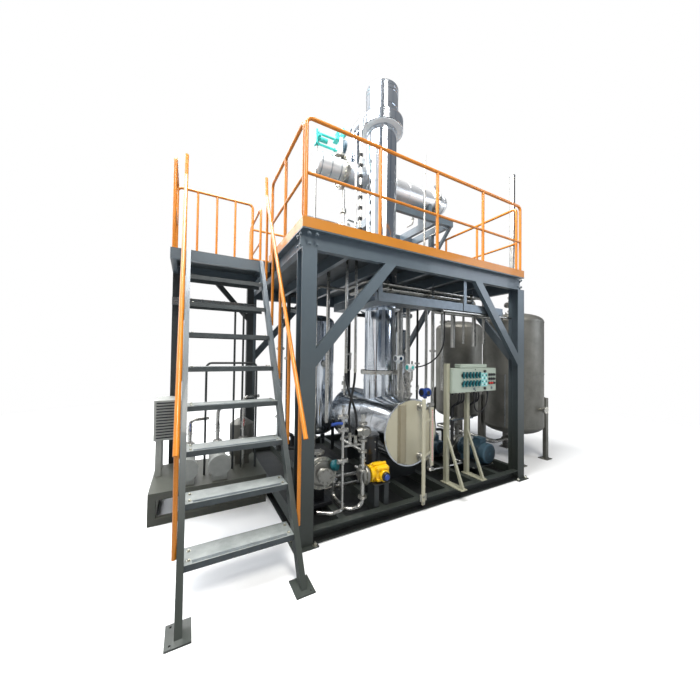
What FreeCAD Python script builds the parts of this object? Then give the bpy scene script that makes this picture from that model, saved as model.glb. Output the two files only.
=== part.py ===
"""Skid-mounted distillation column with its kettle, condenser, steel frame, stair and storage tanks.

Frame: millimetres, +Z up, +X along the front of the steel frame, +Y towards its back.
The origin is the underside of the front left column's base plate, at the column's centre.
Each function builds one group of pieces and returns {node name: shape}.
"""

import FreeCAD
import Part

import math
import os

V = FreeCAD.Vector

# Steel frame: centre lines of the four columns, and the deck on top of them.
BAY_X = 3350.0
BAY_Y = 2850.0
DECK_TOP = 3000.0
COLUMN_SIZE = 150.0
COLUMN_WEB = 10.0
BASE_PLATE = 240.0
BASE_PLATE_T = 12.0
ANCHOR_SPACING = 180.0
ANCHOR_RADIUS = 9.0
DECK_BEAM = 194.0
DECK_BEAM_WIDTH = 75.0
BEAM_T = 8.0
DECK_PLATE_T = 6.0
JOIST_COUNT = 5
SKID_HEIGHT = 140.0
SKID_BEAM_WIDTH = 80.0
SKID_CROSS_COUNT = 6
BRACE_DEPTH = 110.0
BRACE_T = 60.0
BRACE_REACH = 800.0
BRACE_DROP = 950.0

# Guard rails.
RAIL_HEIGHT = 1080.0
RAIL_MID = 540.0
RAIL_RADIUS = 19.0
RAIL_INSET = 20.0
RAIL_BAYS_X = 4
RAIL_BAYS_Y = 4
RAIL_BEND = 60.0
TOE_HEIGHT = 100.0
TOE_T = 5.0

# Stair and landing, left of the frame.
STAIR_RIGHT = -205.0
STAIR_WIDTH = 780.0
STAIR_RISERS = 9
TREAD_DEPTH = 215.0
TREAD_T = 5.0
TREAD_LIP = 45.0
STAIR_TOP_Y = 1200.0
STAIR_SLOPE = 1.74
STRINGER_DEPTH = 150.0
STRINGER_T = 45.0
STRINGER_WALL = 7.0
HANDRAIL_RISE = 950.0
HANDRAIL_FOOT = 430.0
HANDRAIL_POSTS = 5
HANDRAIL_POST_RADIUS = 16.0
LANDING_DEPTH = 800.0
LANDING_LEFT = -1190.0
LANDING_BEAM = 120.0
POST_SIZE = 90.0

# Kettle, a horizontal clad vessel under the column.
KETTLE_X = 1560.0
KETTLE_FRONT = 275.0
KETTLE_BACK = 1850.0
KETTLE_Z = 810.0
KETTLE_RADIUS = 425.0
KETTLE_WALL = 60.0
KETTLE_COVER_T = 14.0
KETTLE_HEAD = 150.0
SADDLE_T = 120.0
SADDLE_HALF = 300.0

# Distillation column on the kettle.
TOWER_Y = 1020.0
TOWER_RADIUS = 230.0
TOWER_WALL = 40.0
TOWER_NECK_RADIUS = 245.0
TOWER_NECK_TOP = 1540.0
TOWER_FLANGE_RADIUS = 285.0
TOWER_FLANGE_T = 36.0
TOWER_COLLAR_RADIUS = 310.0
TOWER_COLLAR_LOW = 2460.0
TOWER_COLLAR_HIGH = 2800.0
TOWER_SHELL_TOP = 5215.0
TOWER_HEAD_RADIUS = 325.0
TOWER_HEAD_TOP = 5430.0
TOWER_CROWN_RADIUS = 248.0
TOWER_CROWN_TOP = 5860.0
TOWER_LID_T = 20.0
VAPOUR_RADIUS = 76.0
VAPOUR_WALL = 14.0

# Condenser on its stand, behind the column.
CONDENSER_Y = 1530.0
CONDENSER_Z = 4760.0
CONDENSER_LEFT = 1180.0
CONDENSER_RIGHT = 3050.0
CONDENSER_RADIUS = 190.0
CONDENSER_WALL = 20.0
CONDENSER_FLANGE_RADIUS = 245.0
CONDENSER_FLANGE_T = 34.0
CONDENSER_HEAD = 260.0
CONDENSER_LEFT_HEAD = 480.0
STAND_LEFT = 1850.0
STAND_RIGHT = 3290.0
STAND_FRONT = 1170.0
STAND_BACK = 2300.0
STAND_TOP = 4350.0
STAND_BEAM = 140.0
STAND_BEAM_WIDTH = 70.0
STAND_LEG = 80.0
STAND_OVERHANG = 480.0
STAND_BRACE_DROP = 430.0
BUTT_GAP = 0.5

# Vessels under the deck.
RECEIVER = (1060.0, 2250.0, 290.0, 520.0, 2380.0)
SURGE = (3000.0, 2350.0, 190.0, 1100.0, 2300.0)
VESSEL_WALL = 8.0

# Storage tanks, right of the frame.
TANK_RADIUS = 500.0
TANK_LOW = 600.0
TANK_HIGH = 2420.0
TANK_HEAD = 170.0
TANK_WALL = 8.0
TANK_PLACES = ((4260.0, 640.0), (4430.0, 2020.0))
TANK_LEG_TOP = 1080.0
TANK_LEG = 75.0
TANK_FOOT = 160.0
TANK_FOOT_T = 12.0
VENT_RADIUS = 34.0
VENT_STEP = 3250.0
VENT_TOP = 5200.0
OUTLET_Z = 320.0
OUTLET_X = 3700.0

# Level gauge on the kettle's front cover.
GAUGE_X = 1690.0
GAUGE_Y = 70.0
GAUGE_REACH = 320.0
GAUGE_POST_X = 1430.0

# Control panel.
PANEL_LEFT = 2060.0
PANEL_WIDTH = 900.0
PANEL_Y = 60.0
PANEL_DEPTH = 130.0
PANEL_LOW = 1310.0
PANEL_HEIGHT = 330.0
PANEL_GLANDS = (2130.0, 2560.0, 2850.0)

# Feed pump and its pipes.
PUMP_X = 300.0
PUMP_Y = 250.0
PUMP_Z = 520.0
PUMP_FLANGE_RADIUS = 172.0
RISER_X = 690.0
RISER_Y = 55.0
LOOP_X = 500.0
THIN_RISER_X = 445.0

# Dosing pump, filter, circulation pumps.
DRIVE_X = 920.0
DRIVE_Y = 90.0
DRIVE_Z = 490.0
DRIVE_SIZE = 210.0
FILTER_PLACE = (1000.0, 420.0)
MOTORS = ((3040.0, 215.0, 330.0, 150.0, 500.0), (2700.0, 860.0, 300.0, 105.0, 380.0))

# Cable tray under the deck.
TRAY_LEFT = 790.0
TRAY_RIGHT = 3020.0
TRAY_Y = 0.0
TRAY_WIDTH = 220.0
TRAY_DEPTH = 100.0
TRAY_Z = 2400.0
TRAY_HANGERS = (830.0, 2190.0)

# Deck equipment.
COOLER_Y = 1560.0
COOLER_Z = 3830.0
COOLER_LEFT = 480.0
COOLER_RIGHT = 1260.0
COOLER_RADIUS = 95.0
YOKE_X = 970.0
YOKE_Z = 5120.0
WHITE_PIPE_X = 2330.0
PANEL_RISERS = (
    (2560.0, 1080.0, 1200.0, 24.0),
    (2720.0, 1080.0, 1200.0, 24.0),
    (2930.0, 1080.0, 1200.0, 24.0),
    (2130.0, 1250.0, 900.0, 45.0),
    (2370.0, 1330.0, 900.0, 38.0),
    (640.0, 900.0, 900.0, 24.0),
    (600.0, 300.0, 1640.0, 17.0),
    (740.0, 330.0, 1640.0, 17.0),
)
TAKEOFFS = ((1700.0, 620.0, 120.0), (1850.0, 700.0, 240.0), (1800.0, 1500.0, 200.0), (1300.0, 1650.0, 180.0))
TRANSMITTERS = (
    (1560.0, 560.0, 1760.0, 48.0, 110.0),
    (1700.0, 480.0, 1640.0, 46.0, 110.0),
    (1930.0, 430.0, 1290.0, 62.0, 130.0),
)

# Utility module behind the stair.
MODULE_BOX = (-1325.0, -120.0, 980.0, 1880.0)
MODULE_TOP = 330.0
MODULE_VESSEL = (-330.0, 1560.0, 150.0)
MODULE_VESSEL_TOP = 860.0
MODULE_PUMPS = (-980.0, -640.0)
MODULE_RISERS = ((-467.0, 1340.0, 2350.0), (-364.0, 1340.0, 2350.0))
MODULE_LOOP = (-790.0, -200.0, 1285.0, 1680.0)
DUCT_LOW = 2440.0
COOLER_BOX = (-1325.0, 1440.0, 760.0)

# Free hoses and cables: radius, and the points of the route.
CORDS = {
    "drain_hose_left": (14.0, [
        (600, 300, 1640), (600, 300, 1540), (625, 285, 1400), (670, 262, 1270), (704, 238, 1140), (708, 220, 1015),
        (690, 215, 910), (690, 215, 840),
    ]),
    "drain_hose_right": (14.0, [
        (740, 330, 1640), (740, 330, 1540), (722, 336, 1400), (692, 342, 1270), (672, 346, 1140), (674, 346, 1015),
        (690, 345, 910), (690, 345, 840),
    ]),
    "tray_cable": (9.0, [
        (1960, 110, 2400), (1960, 110, 2290), (1990, 130, 2130), (2025, 175, 1965), (2020, 255, 1820),
        (1975, 345, 1720), (1905, 425, 1665), (1840, 468, 1645), (1775.5, 480, 1640),
    ]),
    "panel_cable": (9.0, [
        (2560, 120, 1276), (2560, 120, 1190), (2575, 125, 1080), (2640, 130, 1010), (2730, 130, 1005),
        (2810, 130, 1065), (2850, 120, 1180), (2850, 120, 1276),
    ]),
}


def box(x0, x1, y0, y1, z0, z1):
    """A block between two corners."""
    return Part.makeBox(x1 - x0, y1 - y0, z1 - z0, V(x0, y0, z0))


def rod(start, end, radius):
    """A solid round bar from start to end."""
    a, b = V(*start), V(*end)
    return Part.makeCylinder(radius, (b - a).Length, a, b - a)


def tube(start, end, radius, wall):
    """A round pipe from start to end."""
    return rod(start, end, radius).cut(rod(start, end, radius - wall))


def union(shapes):
    """One shape from several that touch."""
    first = shapes[0]
    if len(shapes) == 1:
        return first
    return first.fuse(shapes[1:]).removeSplitter()


def group(shapes):
    """Solids that don't touch, kept apart in one node."""
    return Part.makeCompound(shapes)


def bent_path(points, bend):
    """A wire of straight runs through points, with each corner rounded to the radius bend."""
    pts = [V(*p) for p in points]
    edges = []
    start = pts[0]
    for i in range(1, len(pts) - 1):
        into = (pts[i] - pts[i - 1]).normalize()
        out = (pts[i + 1] - pts[i]).normalize()
        half = into.getAngle(out) / 2
        cut = bend * math.tan(half)
        a = pts[i] - into * cut
        b = pts[i] + out * cut
        towards = (out - into).normalize()
        middle = pts[i] + towards * (bend / math.cos(half) - bend)
        edges.append(Part.LineSegment(start, a).toShape())
        edges.append(Part.Arc(a, middle, b).toShape())
        start = b
    edges.append(Part.LineSegment(start, pts[-1]).toShape())
    return Part.Wire(edges)


def bent_pipe(points, radius, bend):
    """A solid round pipe that follows bent_path."""
    path = bent_path(points, bend)
    start, towards = V(*points[0]), V(*points[1]) - V(*points[0])
    circle = Part.Wire([Part.makeCircle(radius, start, towards)])
    return path.makePipeShell([circle], True, False)


def dome(x, y, z, radius, height, wall, up):
    """A dished tank end: half an ellipsoid shell whose open rim is at height z."""
    sign = 1 if up else -1

    def half(r, h):
        ball = Part.makeSphere(r)
        squash = FreeCAD.Matrix()
        squash.scale(1, 1, h / r)
        solid = ball.transformGeometry(squash)
        keep = box(-2 * r, 2 * r, -2 * r, 2 * r, 0, 2 * r)
        if sign < 0:
            keep = box(-2 * r, 2 * r, -2 * r, 2 * r, -2 * r, 0)
        return solid.common(keep)

    shell = half(radius, height).cut(half(radius - wall, height - wall))
    shell.translate(V(x, y, z))
    return shell


def h_column(x, y, z0, z1):
    """A wide flange column that stands on a drilled base plate at z0."""
    s = COLUMN_SIZE / 2
    low = z0 + BASE_PLATE_T
    parts = [
        box(x - s, x + s, y - s, y - s + COLUMN_WEB, low, z1),
        box(x - s, x + s, y + s - COLUMN_WEB, y + s, low, z1),
        box(x - COLUMN_WEB / 2, x + COLUMN_WEB / 2, y - s, y + s, low, z1),
    ]
    p = BASE_PLATE / 2
    plate = box(x - p, x + p, y - p, y + p, z0, low)
    for sx in (-1, 1):
        for sy in (-1, 1):
            hx, hy = x + sx * ANCHOR_SPACING / 2, y + sy * ANCHOR_SPACING / 2
            plate = plate.cut(rod((hx, hy, z0 - 1), (hx, hy, low + 1), ANCHOR_RADIUS))
    return union(parts + [plate])


def channel_x(x0, x1, y, z0, height, width, facing):
    """A C channel along X with its web at y and its flanges towards facing (+1 or -1) in Y."""
    y0, y1 = sorted((y, y + facing * width))
    w0, w1 = sorted((y, y + facing * BEAM_T))
    return union([
        box(x0, x1, w0, w1, z0, z0 + height),
        box(x0, x1, y0, y1, z0, z0 + BEAM_T),
        box(x0, x1, y0, y1, z0 + height - BEAM_T, z0 + height),
    ])


def channel_y(y0, y1, x, z0, height, width, facing):
    """A C channel along Y with its web at x and its flanges towards facing in X."""
    x0, x1 = sorted((x, x + facing * width))
    w0, w1 = sorted((x, x + facing * BEAM_T))
    return union([
        box(w0, w1, y0, y1, z0, z0 + height),
        box(x0, x1, y0, y1, z0, z0 + BEAM_T),
        box(x0, x1, y0, y1, z0 + height - BEAM_T, z0 + height),
    ])


def steel_frame():
    """Columns, skid base, deck beams, deck plate and knee braces."""
    s = COLUMN_SIZE / 2
    nodes = {}
    beam_low = DECK_TOP - DECK_PLATE_T - DECK_BEAM
    corners = [(x, y) for x in (0, BAY_X) for y in (0, BAY_Y)]
    nodes["frame_columns"] = group([h_column(x, y, 0, beam_low) for x, y in corners])
    w = SKID_BEAM_WIDTH
    low, high = BASE_PLATE_T, SKID_HEIGHT
    depth = high - low
    nodes["skid_edge_beams"] = group([
        channel_x(s, BAY_X - s, -s + w, low, depth, w, -1),
        channel_x(s, BAY_X - s, BAY_Y + s - w, low, depth, w, 1),
        channel_y(s, BAY_Y - s, -s + w, low, depth, w, -1),
        channel_y(s, BAY_Y - s, BAY_X + s - w, low, depth, w, 1),
    ])
    step = (BAY_X + COLUMN_SIZE) / (SKID_CROSS_COUNT + 1)
    cross = []
    for i in range(SKID_CROSS_COUNT):
        x = -s + step * (i + 1)
        cross.append(box(x - w / 2, x + w / 2, -s + w, BAY_Y + s - w, low, high))
    nodes["skid_cross_beams"] = group(cross)
    edge = DECK_BEAM_WIDTH
    inner = edge + BUTT_GAP
    nodes["deck_edge_beams"] = group([
        channel_x(-s, BAY_X + s, -s + edge, beam_low, DECK_BEAM, edge, -1),
        channel_x(-s, BAY_X + s, BAY_Y + s - edge, beam_low, DECK_BEAM, edge, 1),
        channel_y(-s + inner, BAY_Y + s - inner, -s + edge, beam_low, DECK_BEAM, edge, -1),
        channel_y(-s + inner, BAY_Y + s - inner, BAY_X + s - edge, beam_low, DECK_BEAM, edge, 1),
    ])
    pitch = (BAY_X + COLUMN_SIZE) / (JOIST_COUNT + 1)
    joists = []
    for i in range(JOIST_COUNT):
        x = -s + pitch * (i + 1)
        joist = box(x - 30, x + 30, -s + edge, BAY_Y + s - edge, beam_low + 50, beam_low + DECK_BEAM)
        hole = rod((KETTLE_X, TOWER_Y, beam_low), (KETTLE_X, TOWER_Y, DECK_TOP), TOWER_COLLAR_RADIUS)
        joists.append(joist.cut(hole))
    nodes["deck_joists"] = group(joists)
    plate = box(-s, BAY_X + s, -s, BAY_Y + s, DECK_TOP - DECK_PLATE_T, DECK_TOP)
    hole = rod((KETTLE_X, TOWER_Y, DECK_TOP - 50), (KETTLE_X, TOWER_Y, DECK_TOP + 50), TOWER_RADIUS)
    landing_plate = box(LANDING_LEFT, -s - BUTT_GAP, STAIR_TOP_Y, STAIR_TOP_Y + LANDING_DEPTH,
                        DECK_TOP - DECK_PLATE_T, DECK_TOP)
    nodes["deck_plates"] = group([plate.cut(hole), landing_plate])
    nodes["knee_braces"] = knee_braces(beam_low)
    return nodes


def knee_brace(corner, direction, z_top):
    """A flat diagonal bar from a column face up to the deck beam; direction is its unit way in plan."""
    cx, cy = corner
    dx, dy = direction
    d = BRACE_DEPTH / math.cos(math.atan2(BRACE_DROP, BRACE_REACH))
    profile = [(0, -BRACE_DROP - d), (0, -BRACE_DROP), (BRACE_REACH, 0), (BRACE_REACH + d * 0.84, 0)]
    half = BRACE_T / 2
    nx, ny = -dy, dx
    points = [V(cx + dx * a - nx * half, cy + dy * a - ny * half, z_top + b) for a, b in profile]
    face = Part.Face(Part.makePolygon(points + [points[0]]))
    return face.extrude(V(nx * BRACE_T, ny * BRACE_T, 0))


def knee_braces(z_top):
    """Braces at the four columns, along the front, the back and both sides."""
    s = COLUMN_SIZE / 2
    braces = []
    for x, way in ((s, 1), (BAY_X - s, -1)):
        braces.append(knee_brace((x, -s + BRACE_T / 2), (way, 0), z_top))
        braces.append(knee_brace((x, BAY_Y + s - BRACE_T / 2), (way, 0), z_top))
    for y, way in ((s, 1), (BAY_Y - s, -1)):
        braces.append(knee_brace((BAY_X + s - BRACE_T / 2, y), (0, way), z_top))
    return group(braces)


def rail_panel(points):
    """The bars of a rail panel through points in plan: bent end posts, posts, top rail and middle rail."""
    r, bend = RAIL_RADIUS, RAIL_BEND
    top, mid = DECK_TOP + RAIL_HEIGHT, DECK_TOP + RAIL_MID
    first, last = V(*points[0], top), V(*points[-1], top)
    way = (last - first).normalize()
    reach = bend + 12
    bars = []
    for corner, sign in ((first, 1), (last, -1)):
        tip = corner + way * sign * reach
        bars.append(bent_pipe([(corner.x, corner.y, DECK_TOP), tuple(corner), tuple(tip)], r, bend))
    bars.append(rod(first + way * (reach + BUTT_GAP), last - way * (reach + BUTT_GAP), r))
    for x, y in points[1:-1]:
        bars.append(rod((x, y, DECK_TOP), (x, y, top - r - BUTT_GAP), r))
    for (xa, ya), (xb, yb) in zip(points, points[1:]):
        start = V(xa, ya, mid) + way * (r + BUTT_GAP)
        end = V(xb, yb, mid) - way * (r + BUTT_GAP)
        bars.append(rod(start, end, r * 0.8))
    return bars


def guard_rails():
    """Orange guard rails and toe boards round the main deck, open where the landing meets it."""
    s = COLUMN_SIZE / 2
    left, right = -s + RAIL_INSET + RAIL_RADIUS, BAY_X + s - RAIL_INSET - RAIL_RADIUS
    front, back = -s + RAIL_INSET + RAIL_RADIUS, BAY_Y + s - RAIL_INSET - RAIL_RADIUS
    gap = RAIL_RADIUS * 2 + 22
    step = (right - left) / RAIL_BAYS_X
    front_pts = [(left + step * i, front) for i in range(RAIL_BAYS_X + 1)]
    back_pts = [(left + step * i, back) for i in range(RAIL_BAYS_X + 1)]
    side_start, side_end = front + gap, back - gap
    side_step = (side_end - side_start) / RAIL_BAYS_Y
    right_pts = [(right, side_start + side_step * i) for i in range(RAIL_BAYS_Y + 1)]
    gate_front = STAIR_TOP_Y + 60
    gate_back = STAIR_TOP_Y + LANDING_DEPTH
    near_pts = [(left, side_start), (left, (side_start + gate_front) / 2), (left, gate_front)]
    far_pts = [(left, gate_back), (left, side_end)]
    nodes = {
        "guard_rail_front": group(rail_panel(front_pts)),
        "guard_rail_back": group(rail_panel(back_pts)),
        "guard_rail_right": group(rail_panel(right_pts)),
        "guard_rail_left": group(rail_panel(near_pts) + rail_panel(far_pts)),
    }
    x0, x1, y0, y1 = -s, BAY_X + s, -s, BAY_Y + s
    z0, z1 = DECK_TOP, DECK_TOP + TOE_HEIGHT
    t = TOE_T
    ya, yb = y0 + t + BUTT_GAP, y1 - t - BUTT_GAP
    nodes["toe_boards"] = group([
        box(x0, x1, y0, y0 + t, z0, z1),
        box(x0, x1, y1 - t, y1, z0, z1),
        box(x1 - t, x1, ya, yb, z0, z1),
        box(x0, x0 + t, ya, gate_front, z0, z1),
        box(x0, x0 + t, gate_back, yb, z0, z1),
    ])
    return nodes


def stair_line(y):
    """Height of the treads' nosing line at y."""
    return DECK_TOP + (y - STAIR_TOP_Y) * STAIR_SLOPE


def stringer(x0, x1, opening):
    """One channel stringer between x0 and x1, with a foot plate; its flanges point to opening in X."""
    foot_y = STAIR_TOP_Y - (DECK_TOP - BASE_PLATE_T) / STAIR_SLOPE
    rise = STRINGER_DEPTH / math.cos(math.atan(1 / STAIR_SLOPE))
    z_low = BASE_PLATE_T
    run = rise / STAIR_SLOPE / 2

    def slab(xa, xb, shift0, shift1):
        top = DECK_TOP
        span = (top - z_low) / STAIR_SLOPE
        pts = [
            V(xa, foot_y + shift0, z_low),
            V(xa, foot_y + shift1, z_low),
            V(xa, foot_y + shift1 + span, top),
            V(xa, foot_y + shift0 + span, top),
        ]
        face = Part.Face(Part.makePolygon(pts + [pts[0]]))
        return face.extrude(V(xb - xa, 0, 0))

    low, high = -run * 0.6, run * 1.4
    wall = STRINGER_WALL * 1.15
    web = slab(x0, x0 + STRINGER_WALL, low, high)
    if opening < 0:
        web = slab(x1 - STRINGER_WALL, x1, low, high)
    body = union([web, slab(x0, x1, low, low + wall), slab(x0, x1, high - wall, high)])
    limit = box(x0 - 10, x1 + 10, foot_y - 500, STAIR_TOP_Y, 0, DECK_TOP + 10)
    body = body.common(limit)
    mid_x, mid_y = (x0 + x1) / 2, foot_y + (low + high) / 2
    half = 75.0
    plate = box(mid_x - half, mid_x + half, mid_y - half * 1.3, mid_y + half * 1.3, 0, BASE_PLATE_T)
    for sy in (-1, 1):
        plate = plate.cut(rod((mid_x + 45 * opening, mid_y + sy * 70, -1), (mid_x + 45 * opening, mid_y + sy * 70, 20), 7))
    return union([body, plate])


def stair():
    """Two stringers, eight folded treads and two hand rails."""
    right, left = STAIR_RIGHT, STAIR_RIGHT - STAIR_WIDTH
    nodes = {"stair_stringers": group([
        stringer(left - STRINGER_T, left, -1),
        stringer(right, right + STRINGER_T, 1),
    ])}
    riser = DECK_TOP / STAIR_RISERS
    treads = []
    for i in range(1, STAIR_RISERS):
        z = riser * i
        y = STAIR_TOP_Y + (z - DECK_TOP) / STAIR_SLOPE
        y0, y1 = y - 20, y - 20 + TREAD_DEPTH
        treads.append(union([
            box(left, right, y0, y1, z - TREAD_T, z),
            box(left, right, y0, y0 + TREAD_T, z - TREAD_LIP, z),
            box(left, right, y1 - TREAD_T, y1, z - TREAD_LIP, z),
        ]))
    nodes["stair_treads"] = group(treads)
    nodes["stair_handrails"] = group([
        handrail(left - STRINGER_T - HANDRAIL_POST_RADIUS),
        handrail(right + STRINGER_T + HANDRAIL_POST_RADIUS),
    ])
    return nodes


def handrail(x):
    """A sloping rail beside a stringer, on posts that are welded to the stringer's side."""
    r = RAIL_RADIUS

    def rail_z(y):
        return stair_line(y) + HANDRAIL_RISE

    low_y = -HANDRAIL_FOOT
    top_y = STAIR_TOP_Y - 40
    end_z = DECK_TOP + RAIL_HEIGHT - 60
    knee_y = STAIR_TOP_Y + (end_z - DECK_TOP - HANDRAIL_RISE) / STAIR_SLOPE - 120
    parts = [bent_pipe([(x, low_y, rail_z(low_y)), (x, knee_y, rail_z(knee_y)), (x, top_y, end_z + 60)], r, 150)]
    first, last = low_y + 150, knee_y - 40
    for i in range(HANDRAIL_POSTS):
        y = first + (last - first) * i / (HANDRAIL_POSTS - 1)
        z0 = stair_line(y) - 70
        parts.append(rod((x, y, z0), (x, y, rail_z(y)), HANDRAIL_POST_RADIUS))
    return union(parts)


def landing():
    """The landing at the stair's head: beams, plate, two posts, a brace and its rail."""
    y0, y1 = STAIR_TOP_Y, STAIR_TOP_Y + LANDING_DEPTH
    x0, x1 = LANDING_LEFT, -COLUMN_SIZE / 2 - BUTT_GAP
    z1 = DECK_TOP - DECK_PLATE_T
    z0 = z1 - LANDING_BEAM
    nodes = {}
    inner = 60 + BUTT_GAP
    nodes["landing_beams"] = group([
        channel_x(x0, x1, y0, z0, LANDING_BEAM, 60, 1),
        channel_x(x0, x1, y1, z0, LANDING_BEAM, 60, -1),
        channel_y(y0 + inner, y1 - inner, x0, z0, LANDING_BEAM, 60, 1),
        channel_y(y0 + inner, y1 - inner, x1, z0, LANDING_BEAM, 60, -1),
    ])
    p = POST_SIZE
    plate = BASE_PLATE_T

    def post(x, y):
        shaft = box(x, x + p, y, y + p, plate, z0)
        foot = box(x - 30, x + p + 30, y - 30, y + p + 30, 0, plate)
        return union([shaft, foot])

    posts = [post(x0, y1 - p), post(x1 - p - 60, y1 - p)]
    bx = x1 - p - 60
    reach, drop, d = 420.0, 480.0, 95.0
    pts = [V(bx, y1 - 70, z0 - drop - d), V(bx, y1 - 70, z0 - drop), V(bx - reach, y1 - 70, z0), V(bx - reach - d, y1 - 70, z0)]
    brace = Part.Face(Part.makePolygon(pts + [pts[0]])).extrude(V(0, 50, 0))
    nodes["landing_posts"] = group(posts + [brace])
    r = RAIL_RADIUS
    top, mid = DECK_TOP + RAIL_HEIGHT, DECK_TOP + RAIL_MID
    xb, yb = x0 + 30, y1 - 30
    xe = x1 - 90
    rail = [bent_pipe([(xb, yb, DECK_TOP), (xb, yb, top), (xe, yb, top), (xe, yb, DECK_TOP)], r, RAIL_BEND)]
    for i in range(1, 4):
        x = xb + (xe - xb) * i / 4
        rail.append(rod((x, yb, DECK_TOP), (x, yb, top), r * 0.8))
    side = [bent_pipe([(xb, y0 + 60, DECK_TOP), (xb, y0 + 60, top), (xb, yb - 60, top), (xb, yb - 60, DECK_TOP)], r, RAIL_BEND)]
    side.append(rod((xb, y0 + 60, mid), (xb, yb - 60, mid), r * 0.8))
    nodes["landing_rail"] = group([union(rail), union(side)])
    return nodes


def kettle_body():
    """The kettle's outer cylinder as one solid, to trim what stands on it."""
    return rod((KETTLE_X, KETTLE_FRONT, KETTLE_Z), (KETTLE_X, KETTLE_BACK, KETTLE_Z), KETTLE_RADIUS)


def kettle():
    """Clad horizontal kettle: shell, flat front cover, dished back end, two saddles."""
    x, z, r = KETTLE_X, KETTLE_Z, KETTLE_RADIUS
    front, back = KETTLE_FRONT, KETTLE_BACK
    shell = tube((x, front + KETTLE_COVER_T, z), (x, back, z), r, KETTLE_WALL)
    cover = rod((x, front, z), (x, front + KETTLE_COVER_T, z), r + 8)
    head = dome(0, 0, 0, r, KETTLE_HEAD, KETTLE_WALL / 2, True)
    head.rotate(V(0, 0, 0), V(1, 0, 0), -90)
    head.translate(V(x, back, z))
    saddles = []
    for y in (front + 330, back - 330):
        block = box(x - SADDLE_HALF, x + SADDLE_HALF, y - SADDLE_T / 2, y + SADDLE_T / 2, SKID_HEIGHT, z - 120)
        saddles.append(block.cut(rod((x, y - SADDLE_T, z), (x, y + SADDLE_T, z), r)))
    return {
        "kettle_shell": shell,
        "kettle_front_cover": cover,
        "kettle_back_head": head,
        "kettle_saddles": group(saddles),
    }


def tower():
    """The distillation column: neck, shell, collar, head and crown, and the vapour pipe."""
    x, y = KETTLE_X, TOWER_Y
    bore = TOWER_NECK_RADIUS - TOWER_WALL
    neck = union([
        rod((x, y, KETTLE_Z), (x, y, TOWER_NECK_TOP), TOWER_NECK_RADIUS),
        rod((x, y, TOWER_NECK_TOP), (x, y, TOWER_NECK_TOP + TOWER_FLANGE_T), TOWER_FLANGE_RADIUS),
    ]).cut(rod((x, y, KETTLE_Z - 1), (x, y, TOWER_NECK_TOP + 99), bore)).cut(kettle_body())
    shell = tube((x, y, TOWER_NECK_TOP + TOWER_FLANGE_T), (x, y, TOWER_SHELL_TOP), TOWER_RADIUS, TOWER_WALL)
    collar = tube((x, y, TOWER_COLLAR_LOW), (x, y, TOWER_COLLAR_HIGH), TOWER_COLLAR_RADIUS,
                  TOWER_COLLAR_RADIUS - TOWER_RADIUS)
    head_wall = TOWER_HEAD_RADIUS - TOWER_RADIUS + TOWER_WALL
    head = union([
        tube((x, y, TOWER_SHELL_TOP), (x, y, TOWER_HEAD_TOP - 60), TOWER_HEAD_RADIUS, head_wall),
        Part.makeCone(TOWER_HEAD_RADIUS, TOWER_CROWN_RADIUS, 60, V(x, y, TOWER_HEAD_TOP - 60)).cut(
            rod((x, y, TOWER_HEAD_TOP - 70), (x, y, TOWER_HEAD_TOP + 10), TOWER_RADIUS - TOWER_WALL)),
    ])
    crown = tube((x, y, TOWER_HEAD_TOP), (x, y, TOWER_CROWN_TOP - TOWER_LID_T), TOWER_CROWN_RADIUS, TOWER_WALL)
    lid = rod((x, y, TOWER_CROWN_TOP - TOWER_LID_T), (x, y, TOWER_CROWN_TOP), TOWER_CROWN_RADIUS)
    crown_round = rod((x, y, TOWER_HEAD_TOP), (x, y, TOWER_CROWN_TOP), TOWER_CROWN_RADIUS)
    pipe_x, pipe_y = CONDENSER_LEFT + 190, CONDENSER_Y
    start_z, knee_z = TOWER_CROWN_TOP - 100, TOWER_HEAD_TOP + 90
    route = [(x, y, start_z), (pipe_x, pipe_y, knee_z), (pipe_x, pipe_y, CONDENSER_Z)]
    outer = bent_pipe(route, VAPOUR_RADIUS, 140)
    shell_round = rod((CONDENSER_LEFT, CONDENSER_Y, CONDENSER_Z), (CONDENSER_RIGHT, CONDENSER_Y, CONDENSER_Z),
                      CONDENSER_RADIUS)
    head_round = rod((x, y, TOWER_SHELL_TOP), (x, y, TOWER_HEAD_TOP + 2), TOWER_HEAD_RADIUS + 1)
    vapour = outer.cut(crown_round).cut(shell_round).cut(head_round)
    return {
        "column_neck": neck,
        "column_shell": shell,
        "column_collar": collar,
        "column_head": head,
        "column_crown": crown,
        "column_lid": lid,
        "vapour_pipe": vapour,
    }


def condenser():
    """Horizontal condenser with flanged heads, two saddles, a stand frame and legs."""
    y, z = CONDENSER_Y, CONDENSER_Z
    left, right = CONDENSER_LEFT, CONDENSER_RIGHT
    t = CONDENSER_FLANGE_T
    shell = tube((left, y, z), (right, y, z), CONDENSER_RADIUS, CONDENSER_WALL)
    heads = []
    for end, way, length in ((left, -1, CONDENSER_LEFT_HEAD), (right, 1, CONDENSER_HEAD)):
        flange = rod((end, y, z), (end + way * 2 * t, y, z), CONDENSER_FLANGE_RADIUS)
        barrel = rod((end + way * 2 * t, y, z), (end + way * (2 * t + length), y, z), CONDENSER_RADIUS)
        heads.append(union([flange, barrel]))
    return {
        "condenser_shell": shell,
        "condenser_heads": group(heads),
        "condenser_stand": condenser_stand(),
    }


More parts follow.
